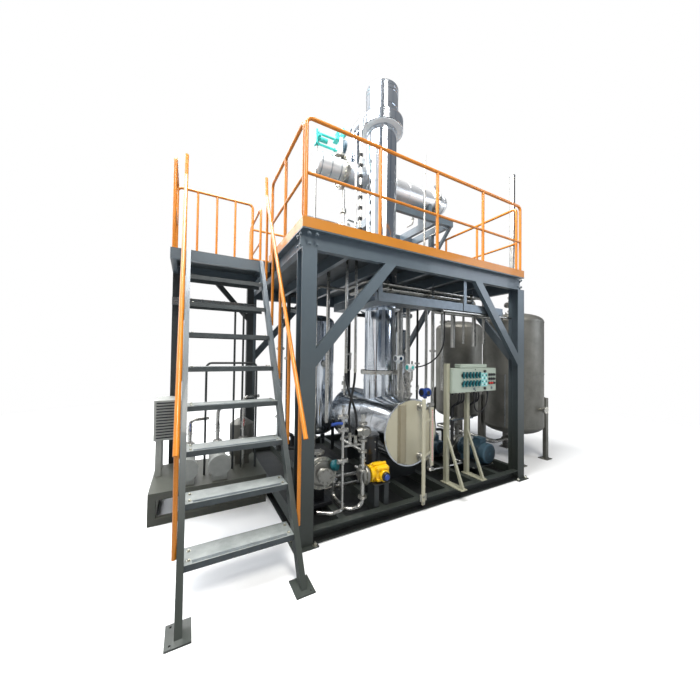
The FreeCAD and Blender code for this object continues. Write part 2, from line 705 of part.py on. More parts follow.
def condenser_stand():
    """The steel stand on the deck: top bars, four legs set back from the front, braces and saddles."""
    x0, x1, y0, y1 = STAND_LEFT, STAND_RIGHT, STAND_FRONT, STAND_BACK
    low, high = STAND_TOP - STAND_BEAM, STAND_TOP
    b, gap, g = STAND_BEAM_WIDTH, BUTT_GAP, STAND_LEG
    bars = [box(x0, x1, y0, y0 + b, low, high), box(x0, x1, y1 - b, y1, low, high)]
    saddle_places = (x0 + b / 2, CONDENSER_RIGHT - 130)
    for x in saddle_places + (x1 - b / 2,):
        bars.append(box(x - b / 2, x + b / 2, y0 + b + gap, y1 - b - gap, low, high))
    for x in saddle_places:
        block = box(x - b / 2, x + b / 2, CONDENSER_Y - 150, CONDENSER_Y + 150, high, CONDENSER_Z - 60)
        round_shell = rod((CONDENSER_LEFT, CONDENSER_Y, CONDENSER_Z), (CONDENSER_RIGHT, CONDENSER_Y, CONDENSER_Z),
                          CONDENSER_RADIUS)
        bars.append(block.cut(round_shell))
    front_leg = y0 + STAND_OVERHANG
    for x in (x0, x1 - g):
        for y in (front_leg, y1 - g):
            shaft = box(x, x + g, y, y + g, DECK_TOP + 10, low - gap)
            foot = box(x - 30, x + g + 30, y - 30, y + g + 30, DECK_TOP, DECK_TOP + 10)
            bars.append(union([shaft, foot]))
        d = 80.0
        reach = STAND_OVERHANG - b
        middle = x + g / 2
        pts = [(front_leg - gap, -STAND_BRACE_DROP - d), (front_leg - gap, -STAND_BRACE_DROP),
               (front_leg - reach, -gap), (front_leg - reach - d * 0.8, -gap)]
        outline = [V(middle - 25, y, low + z) for y, z in pts]
        bars.append(Part.Face(Part.makePolygon(outline + [outline[0]])).extrude(V(50, 0, 0)))
    return group(bars)


def standing_vessel(spec, foot_z, leg_half, leg_count):
    """A vertical vessel: shell, two dished ends and legs that stand at foot_z."""
    x, y, r, z0, z1 = spec
    shell = tube((x, y, z0), (x, y, z1), r, VESSEL_WALL)
    top = dome(x, y, z1, r, r * 0.45, VESSEL_WALL, True)
    bottom = dome(x, y, z0, r, r * 0.45, VESSEL_WALL, False)
    round_body = rod((x, y, z0), (x, y, z1 + 1), r)
    legs = []
    for i in range(leg_count):
        a = math.radians(45 + 360.0 / leg_count * i)
        lx, ly = x + math.cos(a) * r, y + math.sin(a) * r
        leg = box(lx - leg_half, lx + leg_half, ly - leg_half, ly + leg_half, foot_z, z0 + 260)
        legs.append(leg.cut(round_body).cut(rod((x, y, z0 - r), (x, y, z0), r)))
    return shell, [top, bottom], legs


def process_vessels():
    """The receiver at the left and the surge vessel at the back, on their legs."""
    parts = [standing_vessel(RECEIVER, SKID_HEIGHT, 30, 4), standing_vessel(SURGE, SKID_HEIGHT, 25, 4)]
    return {
        "vessel_shells": group([shell for shell, ends, legs in parts]),
        "vessel_ends": group([end for shell, ends, legs in parts for end in ends]),
        "vessel_legs": group([leg for shell, ends, legs in parts for leg in legs]),
    }


def storage_tanks():
    """Two free-standing tanks on legs, and the vent pipe on the front one."""
    shells, tops, bottoms, legs = [], [], [], []
    for x, y in TANK_PLACES:
        shells.append(tube((x, y, TANK_LOW), (x, y, TANK_HIGH), TANK_RADIUS, TANK_WALL))
        tops.append(dome(x, y, TANK_HIGH, TANK_RADIUS, TANK_HEAD, TANK_WALL, True))
        bottoms.append(dome(x, y, TANK_LOW, TANK_RADIUS, TANK_HEAD, TANK_WALL, False))
        clear = rod((x, y, 0), (x, y, TANK_HIGH), TANK_RADIUS)
        for i in range(4):
            a = math.radians(45 + 90 * i)
            reach = TANK_RADIUS + 30
            lx, ly = x + math.cos(a) * reach, y + math.sin(a) * reach
            h, f = TANK_LEG / 2, TANK_FOOT / 2
            shaft = box(lx - h, lx + h, ly - h, ly + h, TANK_FOOT_T, TANK_LEG_TOP).cut(clear)
            foot = box(lx - f, lx + f, ly - f, ly + f, 0, TANK_FOOT_T)
            legs.append(union([shaft, foot]))
    return {
        "storage_tank_shells": group(shells),
        "storage_tank_ends": group(tops + bottoms),
        "storage_tank_legs": group(legs),
    }


def flange_ring(x, y, z, axis, radius, thickness):
    """A round flange centred at (x, y, z), square to the named axis."""
    ways = {"x": (1, 0, 0), "y": (0, 1, 0), "z": (0, 0, 1)}
    dx, dy, dz = (w * thickness / 2 for w in ways[axis])
    return rod((x - dx, y - dy, z - dz), (x + dx, y + dy, z + dz), radius)


def level_gauges():
    """The kettle's level gauge with its two arms, and the flat post that stands beside it."""
    s = COLUMN_SIZE / 2
    x, y = GAUGE_X, GAUGE_Y
    post = box(GAUGE_POST_X - 22, GAUGE_POST_X + 22, -s - 24, -s, 75, 1290)
    low, high = KETTLE_Z - GAUGE_REACH, KETTLE_Z + GAUGE_REACH
    parts = [rod((x, y, low - 90), (x, y, high + 60), 30)]
    for z in (low, high):
        parts.append(rod((x, y, z), (x, KETTLE_FRONT, z), 20))
        parts.append(flange_ring(x, KETTLE_FRONT - 12, z, "y", 48, 24))
        parts.append(flange_ring(x, (y + KETTLE_FRONT) / 2, z, "y", 42, 60))
    parts.append(flange_ring(x, y, low - 96, "z", 44, 24))
    parts.append(flange_ring(x, y, high + 66, "z", 44, 24))
    return {"level_gauge": group([post, union(parts)])}


def control_panel():
    """The switch box, the terminal box behind it and the two posts with struts that carry them."""
    x0, x1, y0, z0 = PANEL_LEFT, PANEL_LEFT + PANEL_WIDTH, PANEL_Y, PANEL_LOW
    z1 = z0 + PANEL_HEIGHT
    back = y0 + PANEL_DEPTH
    cabinet = [box(x0, x1, y0, back, z0, z1), box(x0 + 170, x1 - 190, y0 + 10, back - 10, z1, z1 + 55)]
    for gx in PANEL_GLANDS:
        cabinet.append(rod((gx, y0 + 60, z0 - 34), (gx, y0 + 60, z0), 15))
    posts = []
    p = POST_SIZE * 0.6
    foot_z = SKID_HEIGHT
    for x, top in ((x0 - 60, z1 + 60), (x0 + 440, z0)):
        yb = back if x > x0 else y0 + 40
        post = box(x, x + p, yb, yb + p, foot_z + 10, top if x < x0 else z1 - 60)
        plate = box(x - 25, x + p + 25, yb - 270, yb + p + 25, foot_z, foot_z + 10)
        pts = [V(x + 12, yb, 760), V(x + 12, yb, 700), V(x + 12, yb - 225, foot_z + 10), V(x + 12, yb - 262, foot_z + 10)]
        strut = Part.Face(Part.makePolygon(pts + [pts[0]])).extrude(V(p - 24, 0, 0))
        posts.append(union([post, plate, strut]))
    return {"control_panel": union(cabinet), "panel_posts": group(posts)}


def feed_pump():
    """The flanged pump at the front left, its motor and its bedplate."""
    x, y, z = PUMP_X, PUMP_Y, PUMP_Z
    bed = SKID_HEIGHT
    pump = union([
        rod((x, y - 95, z), (x, y, z), 62),
        flange_ring(x, y - 95, z, "y", 88, 26),
        rod((x, y, z), (x, y + 34, z), PUMP_FLANGE_RADIUS),
        rod((x, y + 34, z), (x, y + 190, z), PUMP_FLANGE_RADIUS - 42),
        rod((x, y + 190, z), (x, y + 610, z), PUMP_FLANGE_RADIUS - 62),
        box(x - 90, x + 90, y + 90, y + 560, bed + 40, z - 60),
        box(x - 150, x + 150, y + 40, y + 620, bed, bed + 40),
        rod((x, y + 100, z), (x, y + 100, z + 210), 30),
        flange_ring(x, y + 100, z + 200, "z", 66, 24),
    ])
    return {"feed_pump": pump}


def feed_pipes():
    """The low loop under the pump, the two risers with their valves, and the link to the kettle."""
    r, bend = 24.0, 70.0
    x, y = RISER_X, RISER_Y
    bed = SKID_HEIGHT + 30
    loop = [(LOOP_X, y + 330, bed + 190), (LOOP_X, y + 330, bed), (LOOP_X, y, bed), (x, y, bed), (x, y, 1150)]
    parts = [bent_pipe(loop, r, bend)]
    for z in (270, 560, 760, 880, 1060):
        parts.append(flange_ring(x, y, z, "z", 46, 22))
    parts.append(rod((x, y - 52, 970), (x, y + 52, 970), 52))
    parts.append(rod((x - 85, y, 970), (x + 85, y, 970), 34))
    parts.append(flange_ring(LOOP_X, y + 330, bed + 190, "z", 48, 22))
    thin = [rod((THIN_RISER_X, y, bed + 20), (THIN_RISER_X, y, 1230), 14)]
    for z in (690, 1010, 1150):
        thin.append(rod((THIN_RISER_X - 40, y, z), (THIN_RISER_X + 40, y, z), 22))
    thin.append(rod((THIN_RISER_X, y, 840), (x, y, 840), 13))
    link_z = 760.0
    end = KETTLE_X - math.sqrt(KETTLE_RADIUS ** 2 - (KETTLE_Z - link_z - 20) ** 2)
    back = KETTLE_FRONT + 330
    link = bent_pipe([(x, y, link_z), (x, back, link_z), (end, back, link_z)], 20, bend).cut(kettle_body())
    for _, points in (CORDS["drain_hose_left"], CORDS["drain_hose_right"]):
        hx, hy, hz = points[-1]
        parts.append(rod((hx, hy, link_z), (hx, hy, hz), 17))
        parts.append(rod((hx, hy, hz - 45), (hx, hy, hz), 22))
    return {"feed_pipes": union(parts + thin + [link])}


def dosing_set():
    """The small diaphragm pump with its yellow drive on a stand, and the dark filter behind it."""
    x, y, z = DRIVE_X, DRIVE_Y, DRIVE_Z
    top = z - DRIVE_SIZE / 2
    body = union([
        box(x - DRIVE_SIZE / 2, x + DRIVE_SIZE / 2, y - DRIVE_SIZE / 2, y + DRIVE_SIZE / 2, top, z + DRIVE_SIZE / 2),
        rod((x, y - DRIVE_SIZE / 2 - 60, z - 15), (x, y, z - 15), 52),
        rod((x - DRIVE_SIZE / 2 - 30, y, z), (x - DRIVE_SIZE / 2, y, z), 90),
    ])
    stand = []
    for px in (x - 95, x + 35):
        stand.append(box(px, px + 60, y - 70, y + 70, SKID_HEIGHT, top - 12.5))
    stand.append(box(x - 105, x + 105, y - 85, y + 85, top - 12, top - BUTT_GAP))
    fx, fy = FILTER_PLACE
    drum = union([
        rod((fx, fy, 420), (fx, fy, 800), 112),
        rod((fx, fy, 800), (fx, fy, 840), 128),
        box(fx - 70, fx + 70, fy - 70, fy + 70, SKID_HEIGHT, 420),
    ])
    return {"dosing_drive": body, "dosing_stand": group(stand), "filter_housing": drum}


def motors():
    """The two finned motors at the front right, axis along Y, on a common bed."""
    pieces = []
    bed = SKID_HEIGHT + 10
    for x, y, z, r, length in MOTORS:
        pieces.append(union([
            box(x - 310, x + 160, y + 40, y + length + 180, SKID_HEIGHT, bed),
            rod((x, y, z), (x, y + length, z), r),
            box(x - r * 0.8, x + r * 0.8, y + 60, y + length - 40, bed, z - r * 0.5),
            box(x - 65, x + 65, y + 110, y + 260, z + r * 0.8, z + r + 60),
            rod((x, y + length, z), (x, y + length + 60, z), r * 0.55),
        ]))
        pieces.append(union([
            rod((x, y + length + 60.5, z), (x, y + length + 190, z), r * 1.05),
            rod((x, y + length + 125, z), (x, y + length + 125, z + r + 150), 38),
            box(x - 60, x + 60, y + length + 80, y + length + 170, bed + BUTT_GAP, z),
        ]))
    return {"circulation_pumps": group(pieces)}


def cable_tray():
    """The open tray under the deck's front edge, its leg to the back and its two hangers."""
    w, h, t = TRAY_WIDTH, TRAY_DEPTH, 4.0
    z, x0, x1, y0 = TRAY_Z, TRAY_LEFT, TRAY_RIGHT, TRAY_Y

    def trough_x(xa, xb):
        return union([box(xa, xb, y0, y0 + w, z, z + t), box(xa, xb, y0, y0 + t, z, z + h),
                      box(xa, xb, y0 + w - t, y0 + w, z, z + h)])

    def trough_y(ya, yb):
        return union([box(x0, x0 + w, ya, yb, z, z + t), box(x0, x0 + t, ya, yb, z, z + h),
                      box(x0 + w - t, x0 + w, ya, yb, z, z + h)])

    parts = [trough_x(x0, x1), trough_y(y0 + w + BUTT_GAP, y0 + w + 820)]
    beam_low = DECK_TOP - DECK_PLATE_T - DECK_BEAM
    for x in TRAY_HANGERS:
        parts.append(box(x, x + 55, y0 - 8.5, y0 - BUTT_GAP, z, beam_low))
    return {"cable_tray": group(parts)}


def deck_piping():
    """What stands on the deck at the left: the product cooler, and the condenser's inlet valve."""
    y, z = COOLER_Y, COOLER_Z
    x0, x1, r = COOLER_LEFT, COOLER_RIGHT, COOLER_RADIUS
    cooler = [rod((x0, y, z), (x1, y, z), r)]
    for x in (x0 + 20, x1 - 20, x1 - 150):
        cooler.append(flange_ring(x, y, z, "x", r + 34, 28))
    for x in (x0 + 120, x1 - 260):
        cooler.append(box(x - 30, x + 30, y - 70, y + 70, DECK_TOP, z - r * 0.6))
    riser_low = z + r + BUTT_GAP
    riser = union([
        rod((x1 - 80, y, riser_low), (x1 - 80, y, CONDENSER_Z - CONDENSER_RADIUS - 60), 26),
        flange_ring(x1 - 80, y, z + 320, "z", 52, 60),
    ])
    vx, vy, vz = YOKE_X, CONDENSER_Y - 60, YOKE_Z
    head_left = CONDENSER_LEFT - 2 * CONDENSER_FLANGE_T - CONDENSER_LEFT_HEAD
    yoke = [
        box(vx - 330, vx - 270, vy - 55, vy + 55, vz - 110, vz + 110),
        rod((vx - 270, vy, vz + 85), (vx + 60, vy, vz + 85), 18),
        rod((vx - 270, vy, vz - 85), (vx + 60, vy, vz - 85), 18),
        rod((vx - 270, vy, vz), (vx - 150, vy, vz), 40),
        box(vx + 60, vx + 120, vy - 75, vy + 75, vz - 120, vz + 120),
        rod((vx + 120, vy, vz), (vx + 180, vy, vz), 110),
        rod((vx + 90, vy, vz + 120), (vx + 190, vy, vz + 300), 62),
    ]
    valve = union(yoke)
    stem = rod((vx + 90, vy, CONDENSER_Z + 100), (vx + 90, vy, vz - 120), 45)
    shell_round = rod((head_left, CONDENSER_Y, CONDENSER_Z), (CONDENSER_RIGHT, CONDENSER_Y, CONDENSER_Z),
                      CONDENSER_RADIUS + 0.4)
    return {"product_cooler": group([union(cooler), riser]), "inlet_valve": union([valve, stem.cut(shell_round)])}


def process_pipes():
    """Thin risers beside the tower, on the deck and behind the panel, and the kettle's vapour takeoffs."""
    x, y = KETTLE_X, TOWER_Y
    pipes = []
    for dx, r, top in ((-350, 20, 5480), (-430, 15, 4960)):
        pipes.append(rod((x + dx, y + 40, DECK_TOP), (x + dx, y + 40, top), r))
    pipes.append(rod((WHITE_PIPE_X, 900, DECK_TOP), (WHITE_PIPE_X, 900, 5080), 17))
    for px, py, low, r in PANEL_RISERS:
        pipes.append(rod((px, py, low), (px, py, DECK_TOP - DECK_PLATE_T), r))
    bundle_r = 17.0
    bundle_z = TRAY_Z - bundle_r - BUTT_GAP
    for dy in (30, 160, 200):
        yy = TRAY_Y + dy
        pipes.append(rod((TRAY_LEFT + 1050, yy, bundle_z), (TRAY_RIGHT + 230, yy, bundle_z), bundle_r))
    body = kettle_body()
    for px, py, height in TAKEOFFS:
        low = KETTLE_Z + math.sqrt(KETTLE_RADIUS ** 2 - (px - KETTLE_X) ** 2) - 6
        pipes.append(union([
            rod((px, py, low), (px, py, low + height), 24),
            flange_ring(px, py, low + height * 0.45, "z", 52, 26),
            flange_ring(px, py, low + height, "z", 52, 26),
        ]).cut(body))
    return {"process_pipes": group(pipes)}


def instruments():
    """Three transmitter heads on stems that stand on the kettle and beside it."""
    heads = []
    body = kettle_body()
    for px, py, pz, r, length in TRANSMITTERS:
        low = KETTLE_Z + math.sqrt(max(KETTLE_RADIUS ** 2 - (px - KETTLE_X) ** 2, 0)) - 4
        heads.append(union([
            rod((px, py, low), (px, py, pz - r * 0.6), 11),
            rod((px - length / 2, py, pz), (px + length / 2, py, pz), r),
            rod((px, py, pz - r - 22), (px, py, pz), r * 0.45),
            rod((px, py, pz), (px + length / 2 + 20, py, pz), 15),
        ]).cut(body))
    return {"transmitters": group(heads)}


def tank_piping():
    """The vent riser, valves and outlet of the front storage tank."""
    x, y = TANK_PLACES[0]
    top = TANK_HIGH + TANK_HEAD
    vent = union([
        rod((x, y, top - 6), (x, y, VENT_STEP), VENT_RADIUS),
        rod((x, y, VENT_STEP), (x, y, VENT_TOP), VENT_RADIUS * 1.35),
        flange_ring(x, y, top + 60, "z", 78, 30),
        flange_ring(x, y, top + 230, "z", 70, 60),
        rod((x - 150, y, top + 160), (x + 150, y, top + 160), 22),
        flange_ring(x - 150, y, top + 160, "x", 50, 40),
        flange_ring(x + 150, y, top + 160, "x", 50, 40),
    ])
    low = TANK_LOW - TANK_HEAD
    pump_x, pump_y, pump_r = MOTORS[0][0], MOTORS[0][1] + MOTORS[0][4] + 125, MOTORS[0][3] * 1.05
    end = (pump_x + pump_r + BUTT_GAP, pump_y, OUTLET_Z)
    x2, y2 = TANK_PLACES[1]
    outlet = union([
        bent_pipe([(x, y, low + 6), (x, y, OUTLET_Z), (OUTLET_X, y, OUTLET_Z), (OUTLET_X, pump_y, OUTLET_Z), end], 30, 60),
        bent_pipe([(x2, y2, low + 6), (x2, y2, OUTLET_Z), (OUTLET_X + 70, y2, OUTLET_Z), (OUTLET_X + 70, y, OUTLET_Z)],
                  30, 60),
        flange_ring(x - 180, y, OUTLET_Z, "x", 60, 110),
        flange_ring(x2 - 180, y2, OUTLET_Z, "x", 60, 110),
    ])
    return {"tank_piping": group([vent, outlet])}


def side_module():
    """The low utility module behind the stair: box frame, upright vessel, pumps and louvred cooler."""
    x0, x1, y0, y1 = MODULE_BOX
    b, top = 70.0, MODULE_TOP
    deck = top + DECK_PLATE_T
    bars = []
    for z in (0, top - b):
        bars.append(box(x0, x1, y0, y0 + b, z, z + b))
        bars.append(box(x0, x1, y1 - b, y1, z, z + b))
        for x in (x0, (x0 + x1 - b) / 2, x1 - b):
            bars.append(box(x, x + b, y0 + b + BUTT_GAP, y1 - b - BUTT_GAP, z, z + b))
    for x in (x0, (x0 + x1 - b) / 2, x1 - b):
        for y in (y0, y1 - b):
            bars.append(box(x, x + b, y, y + b, b + BUTT_GAP, top - b - BUTT_GAP))
    vx, vy, vr = MODULE_VESSEL
    vessel = union([
        rod((vx, vy, deck + 120), (vx, vy, MODULE_VESSEL_TOP), vr),
        Part.makeCone(vr, vr * 0.4, 60, V(vx, vy, MODULE_VESSEL_TOP)),
        box(vx - vr * 0.6, vx + vr * 0.6, vy - vr * 0.6, vy + vr * 0.6, deck, deck + 120),
        rod((vx, vy, MODULE_VESSEL_TOP + 60), (vx, vy, MODULE_VESSEL_TOP + 180), 24),
    ])
    pumps = []
    for px in MODULE_PUMPS:
        pumps.append(union([
            rod((px, y0 + 120, deck + 170), (px, y0 + 470, deck + 170), 95),
            rod((px, y0 + 40, deck + 170), (px, y0 + 120, deck + 170), 120),
            box(px - 80, px + 80, y0 + 60, y0 + 460, deck, deck + 100),
        ]))
    cx, cy, cz = COOLER_BOX
    louvre = union([
        box(cx, cx + 300, cy, cy + 420, cz, cz + 470),
        box(cx + 20, cx + 80, cy + 30, cy + 90, deck, cz),
        box(cx + 220, cx + 280, cy + 30, cy + 90, deck, cz),
        box(cx + 20, cx + 80, cy + 330, cy + 390, deck, cz),
        box(cx + 220, cx + 280, cy + 330, cy + 390, deck, cz),
    ])
    bars.append(box(x0, x1, y0, y1, top, deck))
    pipes = [rod((x, y, deck), (x, y, high), 13) for x, y, high in MODULE_RISERS]
    left, right, y, high = MODULE_LOOP
    pipes.append(bent_pipe([(left, y, deck), (left, y, high), (right, y, high), (right, y, deck)], 13, 60))
    post_front = STAIR_TOP_Y + LANDING_DEPTH - POST_SIZE
    duct = box(LANDING_LEFT, LANDING_LEFT + 1080, post_front - 60.5, post_front - BUTT_GAP, DUCT_LOW, DUCT_LOW + 100)
    return {
        "module_frame": group(bars),
        "module_equipment": group([vessel, louvre, duct] + pumps + pipes),
    }


def cord_path(points):
    """The wire of a free cord: each arc is as large as its two runs allow."""
    pts = [V(*p) for p in points]
    edges, start, radii = [], pts[0], []
    for i in range(1, len(pts) - 1):
        before, after = pts[i] - pts[i - 1], pts[i + 1] - pts[i]
        cut = 0.45 * min(before.Length, after.Length)
        into, out = before.normalize(), after.normalize()
        half = into.getAngle(out) / 2
        bend = cut / math.tan(half)
        radii.append(round(bend))
        middle = pts[i] + (out - into).normalize() * (bend / math.cos(half) - bend)
        a, b = pts[i] - into * cut, pts[i] + out * cut
        edges.append(Part.LineSegment(start, a).toShape())
        edges.append(Part.Arc(a, middle, b).toShape())
        start = b
    edges.append(Part.LineSegment(start, pts[-1]).toShape())
    return Part.Wire(edges), min(radii)


def cords():
    """The free hoses and cables, each a tube along its route."""
    nodes = {}
    for name, (radius, points) in CORDS.items():
        path, tightest = cord_path(points)
        towards = V(*points[1]) - V(*points[0])
        circle = Part.Wire([Part.makeCircle(radius, V(*points[0]), towards)])
        nodes[name] = path.makePipeShell([circle], True, False)
        whole = math.pi * radius ** 2 * path.Length
        print(name, "length", round(path.Length), "least radius", tightest,
              "volume ratio", round(nodes[name].Volume / whole, 4))
    return nodes


def main():
    """Builds every node and writes one STEP file for each."""
    nodes = {}
    makers = (steel_frame, guard_rails, stair, landing, kettle, tower, condenser, process_vessels, storage_tanks,
              level_gauges, control_panel, feed_pump, feed_pipes, dosing_set, motors, cable_tray, deck_piping,
              process_pipes, instruments, tank_piping, side_module, cords)
    for make in makers:
        nodes.update(make())
    os.makedirs("parts", exist_ok=True)
    for name, shape in nodes.items():
        if not shape.isValid():
            print("INVALID", name)
        shape.exportStep(os.path.join("parts", name + ".step"))
    print(len(nodes), "nodes")


main()
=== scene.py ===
"""Looks of the skid-mounted distillation column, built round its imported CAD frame.

Units are metres and the axes are the frame's: +X along the front, +Y to the back, +Z up. Every piece
rides on the one body, "root".
"""

import logging
import math
import random
from dataclasses import dataclass
from enum import Enum
from typing import Iterable, Sequence

import bpy
from mathutils import Matrix, Vector


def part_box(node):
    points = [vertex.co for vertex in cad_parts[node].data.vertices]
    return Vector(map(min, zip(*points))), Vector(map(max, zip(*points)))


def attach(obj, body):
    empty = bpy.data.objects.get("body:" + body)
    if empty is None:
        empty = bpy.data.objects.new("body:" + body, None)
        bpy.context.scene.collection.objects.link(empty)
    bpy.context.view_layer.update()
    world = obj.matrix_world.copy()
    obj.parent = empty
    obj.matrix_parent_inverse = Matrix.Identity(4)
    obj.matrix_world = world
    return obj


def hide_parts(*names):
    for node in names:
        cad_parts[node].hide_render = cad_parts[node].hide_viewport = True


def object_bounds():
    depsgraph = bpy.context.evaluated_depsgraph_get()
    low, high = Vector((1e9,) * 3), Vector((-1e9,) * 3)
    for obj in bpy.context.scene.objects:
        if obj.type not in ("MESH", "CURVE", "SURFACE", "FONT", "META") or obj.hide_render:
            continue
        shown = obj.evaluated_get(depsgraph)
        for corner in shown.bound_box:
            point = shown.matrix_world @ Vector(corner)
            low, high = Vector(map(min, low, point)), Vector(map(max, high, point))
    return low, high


log = logging.getLogger("skid")
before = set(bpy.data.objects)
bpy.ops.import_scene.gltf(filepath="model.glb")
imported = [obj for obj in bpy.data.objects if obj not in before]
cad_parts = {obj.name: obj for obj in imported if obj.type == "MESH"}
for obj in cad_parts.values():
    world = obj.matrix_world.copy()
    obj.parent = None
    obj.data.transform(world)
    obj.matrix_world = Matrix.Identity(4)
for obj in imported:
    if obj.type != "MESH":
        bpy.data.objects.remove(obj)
cad_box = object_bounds()
BODY = "root"
Point = Sequence[float]
UP = (0, 0, 1)
ALONG = (1, 0, 0)
BACK = (0, 1, 0)
FRONT = (0, -1, 0)
DRUM_RADIUS = 0.425


# --- finishes ------------------------------------------------------------------------------------


def linear(hex_colour: str) -> tuple[float, float, float, float]:
    """Turns an sRGB hex colour to linear light.

    Args:
        hex_colour: six hex digits, with or without a hash.

    Returns:
        Red, green, blue and an alpha of 1.
    """
    digits = hex_colour.lstrip("#")
    channels = []
    for i in (0, 2, 4):
        c = int(digits[i:i + 2], 16) / 255
        channels.append(c / 12.92 if c <= 0.04045 else ((c + 0.055) / 1.055) ** 2.4)
    return (*channels, 1.0)


def add_node(tree: bpy.types.NodeTree, kind: str, inputs: dict, **settings) -> bpy.types.Node:
    """Adds a node with its settings, values and links.

    Args:
        tree: the material's or world's node tree.
        kind: the node's type name.
        inputs: socket name or number to a value, or to a (node, output) pair to link.
        settings: attributes of the node itself.

    Returns:
        The new node.
    """
    node = tree.nodes.new(kind)
    for key, value in settings.items():
        setattr(node, key, value)
    for key, value in inputs.items():
        if isinstance(value, tuple) and value and isinstance(value[0], bpy.types.Node):
            tree.links.new(value[0].outputs[value[1]], node.inputs[key])
        else:
            node.inputs[key].default_value = value
    return node


class Grain(Enum):
    """The way a surface was made, which sets the direction of its fine marks."""

    NONE = (1.0, 1.0, 1.0)
    ROLLED_UP = (1.0, 1.0, 0.04)
    ROLLED_ROUND = (1.0, 0.05, 1.0)
    ROLLED_ALONG = (0.05, 1.0, 1.0)


@dataclass(frozen=True)
class Finish:
    """One real surface: its colour, its gloss, its fine marks and its wear.

    grain_mm is the spacing of the fine marks, blotch_mm the size of the slow changes in colour. The last two
    fields are painted shade: the darker colour at the foot, and the height in metres where it is gone.
    """

    name: str
    colour: str
    second: str
    roughness: float
    metallic: float = 0.0
    grain: Grain = Grain.NONE
    grain_mm: float = 3.0
    grain_depth_mm: float = 0.05
    blotch_mm: float = 250.0
    blotch: float = 0.5
    wear: str = ""
    wear_part: float = 0.0
    coat: float = 0.0
    roughness_swing: float = 0.12
    soiled: str = ""
    soil_top: float = 2.7

    def material(self) -> bpy.types.Material:
        """Returns this finish's material, made on first use."""
        found = bpy.data.materials.get(self.name)
        if found:
            return found
        made = bpy.data.materials.new(self.name)
        made.use_nodes = True
        tree = made.node_tree
        tree.nodes.clear()
        place = add_node(tree, "ShaderNodeTexCoord", {})
        stretch = add_node(tree, "ShaderNodeMapping", {"Vector": (place, "Object"),
                                                       "Scale": self.grain.value})
        marks = add_node(tree, "ShaderNodeTexNoise", {
            "Vector": (stretch, "Vector"), "Scale": 1000 / self.grain_mm, "Detail": 3.0, "Roughness": 0.6})
        slow = add_node(tree, "ShaderNodeTexNoise", {
            "Vector": (place, "Object"), "Scale": 1000 / self.blotch_mm, "Detail": 5.0, "Roughness": 0.62})
        spread = add_node(tree, "ShaderNodeMapRange", {
            "Value": (slow, "Fac"), "From Min": 0.35, "From Max": 0.68, "To Min": 0.0, "To Max": self.blotch})
        colour = add_node(tree, "ShaderNodeMix", {
            "Factor": (spread, "Result"), 6: linear(self.colour), 7: linear(self.second)}, data_type="RGBA")
        last = (colour, 2)
        if self.wear:
            scuffs = add_node(tree, "ShaderNodeTexNoise", {
                "Vector": (place, "Object"), "Scale": 1000 / 60.0, "Detail": 8.0, "Roughness": 0.75})
            edge = 0.72 - self.wear_part
            cut = add_node(tree, "ShaderNodeMapRange", {
                "Value": (scuffs, "Fac"), "From Min": edge, "From Max": edge + 0.05})
            worn = add_node(tree, "ShaderNodeMix", {
                "Factor": (cut, "Result"), 6: last, 7: linear(self.wear)}, data_type="RGBA")
            last = (worn, 2)
        # Painted shade: the colour turns darker towards the foot and fades out by the given height.
        if self.soiled:
            parts = add_node(tree, "ShaderNodeSeparateXYZ", {0: (place, "Object")})
            clean = add_node(tree, "ShaderNodeMapRange", {
                "Value": (parts, "Z"), "From Min": 0.4, "From Max": self.soil_top})
            risen = add_node(tree, "ShaderNodeMix", {
                "Factor": (clean, "Result"), 6: linear(self.soiled), 7: last}, data_type="RGBA")
            last = (risen, 2)
        gloss = add_node(tree, "ShaderNodeMapRange", {
            "Value": (marks, "Fac"), "From Min": 0.3, "From Max": 0.7,
            "To Min": max(self.roughness - self.roughness_swing, 0.03),
            "To Max": self.roughness + self.roughness_swing})
        bump = add_node(tree, "ShaderNodeBump", {
            "Height": (marks, "Fac"), "Strength": 0.35, "Distance": self.grain_depth_mm / 1000})
        shader = add_node(tree, "ShaderNodeBsdfPrincipled", {
            "Base Color": last, "Metallic": self.metallic, "Roughness": (gloss, "Result"),
            "Normal": (bump, "Normal"), "Coat Weight": self.coat})
        add_node(tree, "ShaderNodeOutputMaterial", {"Surface": (shader, "BSDF")})
        return made


# Sprayed enamel on rolled steel: a slight orange peel, dulled by handling, paler where it is scuffed.
# Its colour goes darker towards the foot as painted shade.
FRAME_PAINT = Finish("enamel_slate_sprayed", "535F68", "5F6C74", 0.4, grain_mm=6, grain_depth_mm=0.25,
                     wear="8A969C", wear_part=0.0, coat=0.15, soiled="323733")
LEG_PAINT = Finish("enamel_dark_grey_brushed", "2B2F30", "383D3E", 0.5, grain_mm=6, grain_depth_mm=0.25,
                   wear="6C7274", wear_part=0.0)
# Floor paint on steel plate, walked on: grey, matt, with bare patches.
DECK_PAINT = Finish("floor_paint_rolled", "383F42", "4B5254", 0.5, grain_mm=5, grain_depth_mm=0.3,
                    blotch_mm=120, blotch=0.8, wear="8C9292", wear_part=0.05)
# The treads' tops: pale as a painted highlight from the top light, smoothed and scuffed by boots.
TREAD_WORN = Finish("floor_paint_trodden", "8B908E", "6B716F", 0.4, 0.15, grain_mm=6, grain_depth_mm=0.25,
                    blotch_mm=160, blotch=0.9, wear="A9AEAB", wear_part=0.08)
# Dark hot-rolled sheet, laid low in the skid as painted shade for the shaded floor under the frame.
FLOOR_SHEET = Finish("steel_sheet_oiled", "1B1D1E", "2A2C2B", 0.5, 0.4, grain_mm=9, grain_depth_mm=0.3,
                     blotch_mm=180, blotch=0.9, wear="45443F", wear_part=0.02)
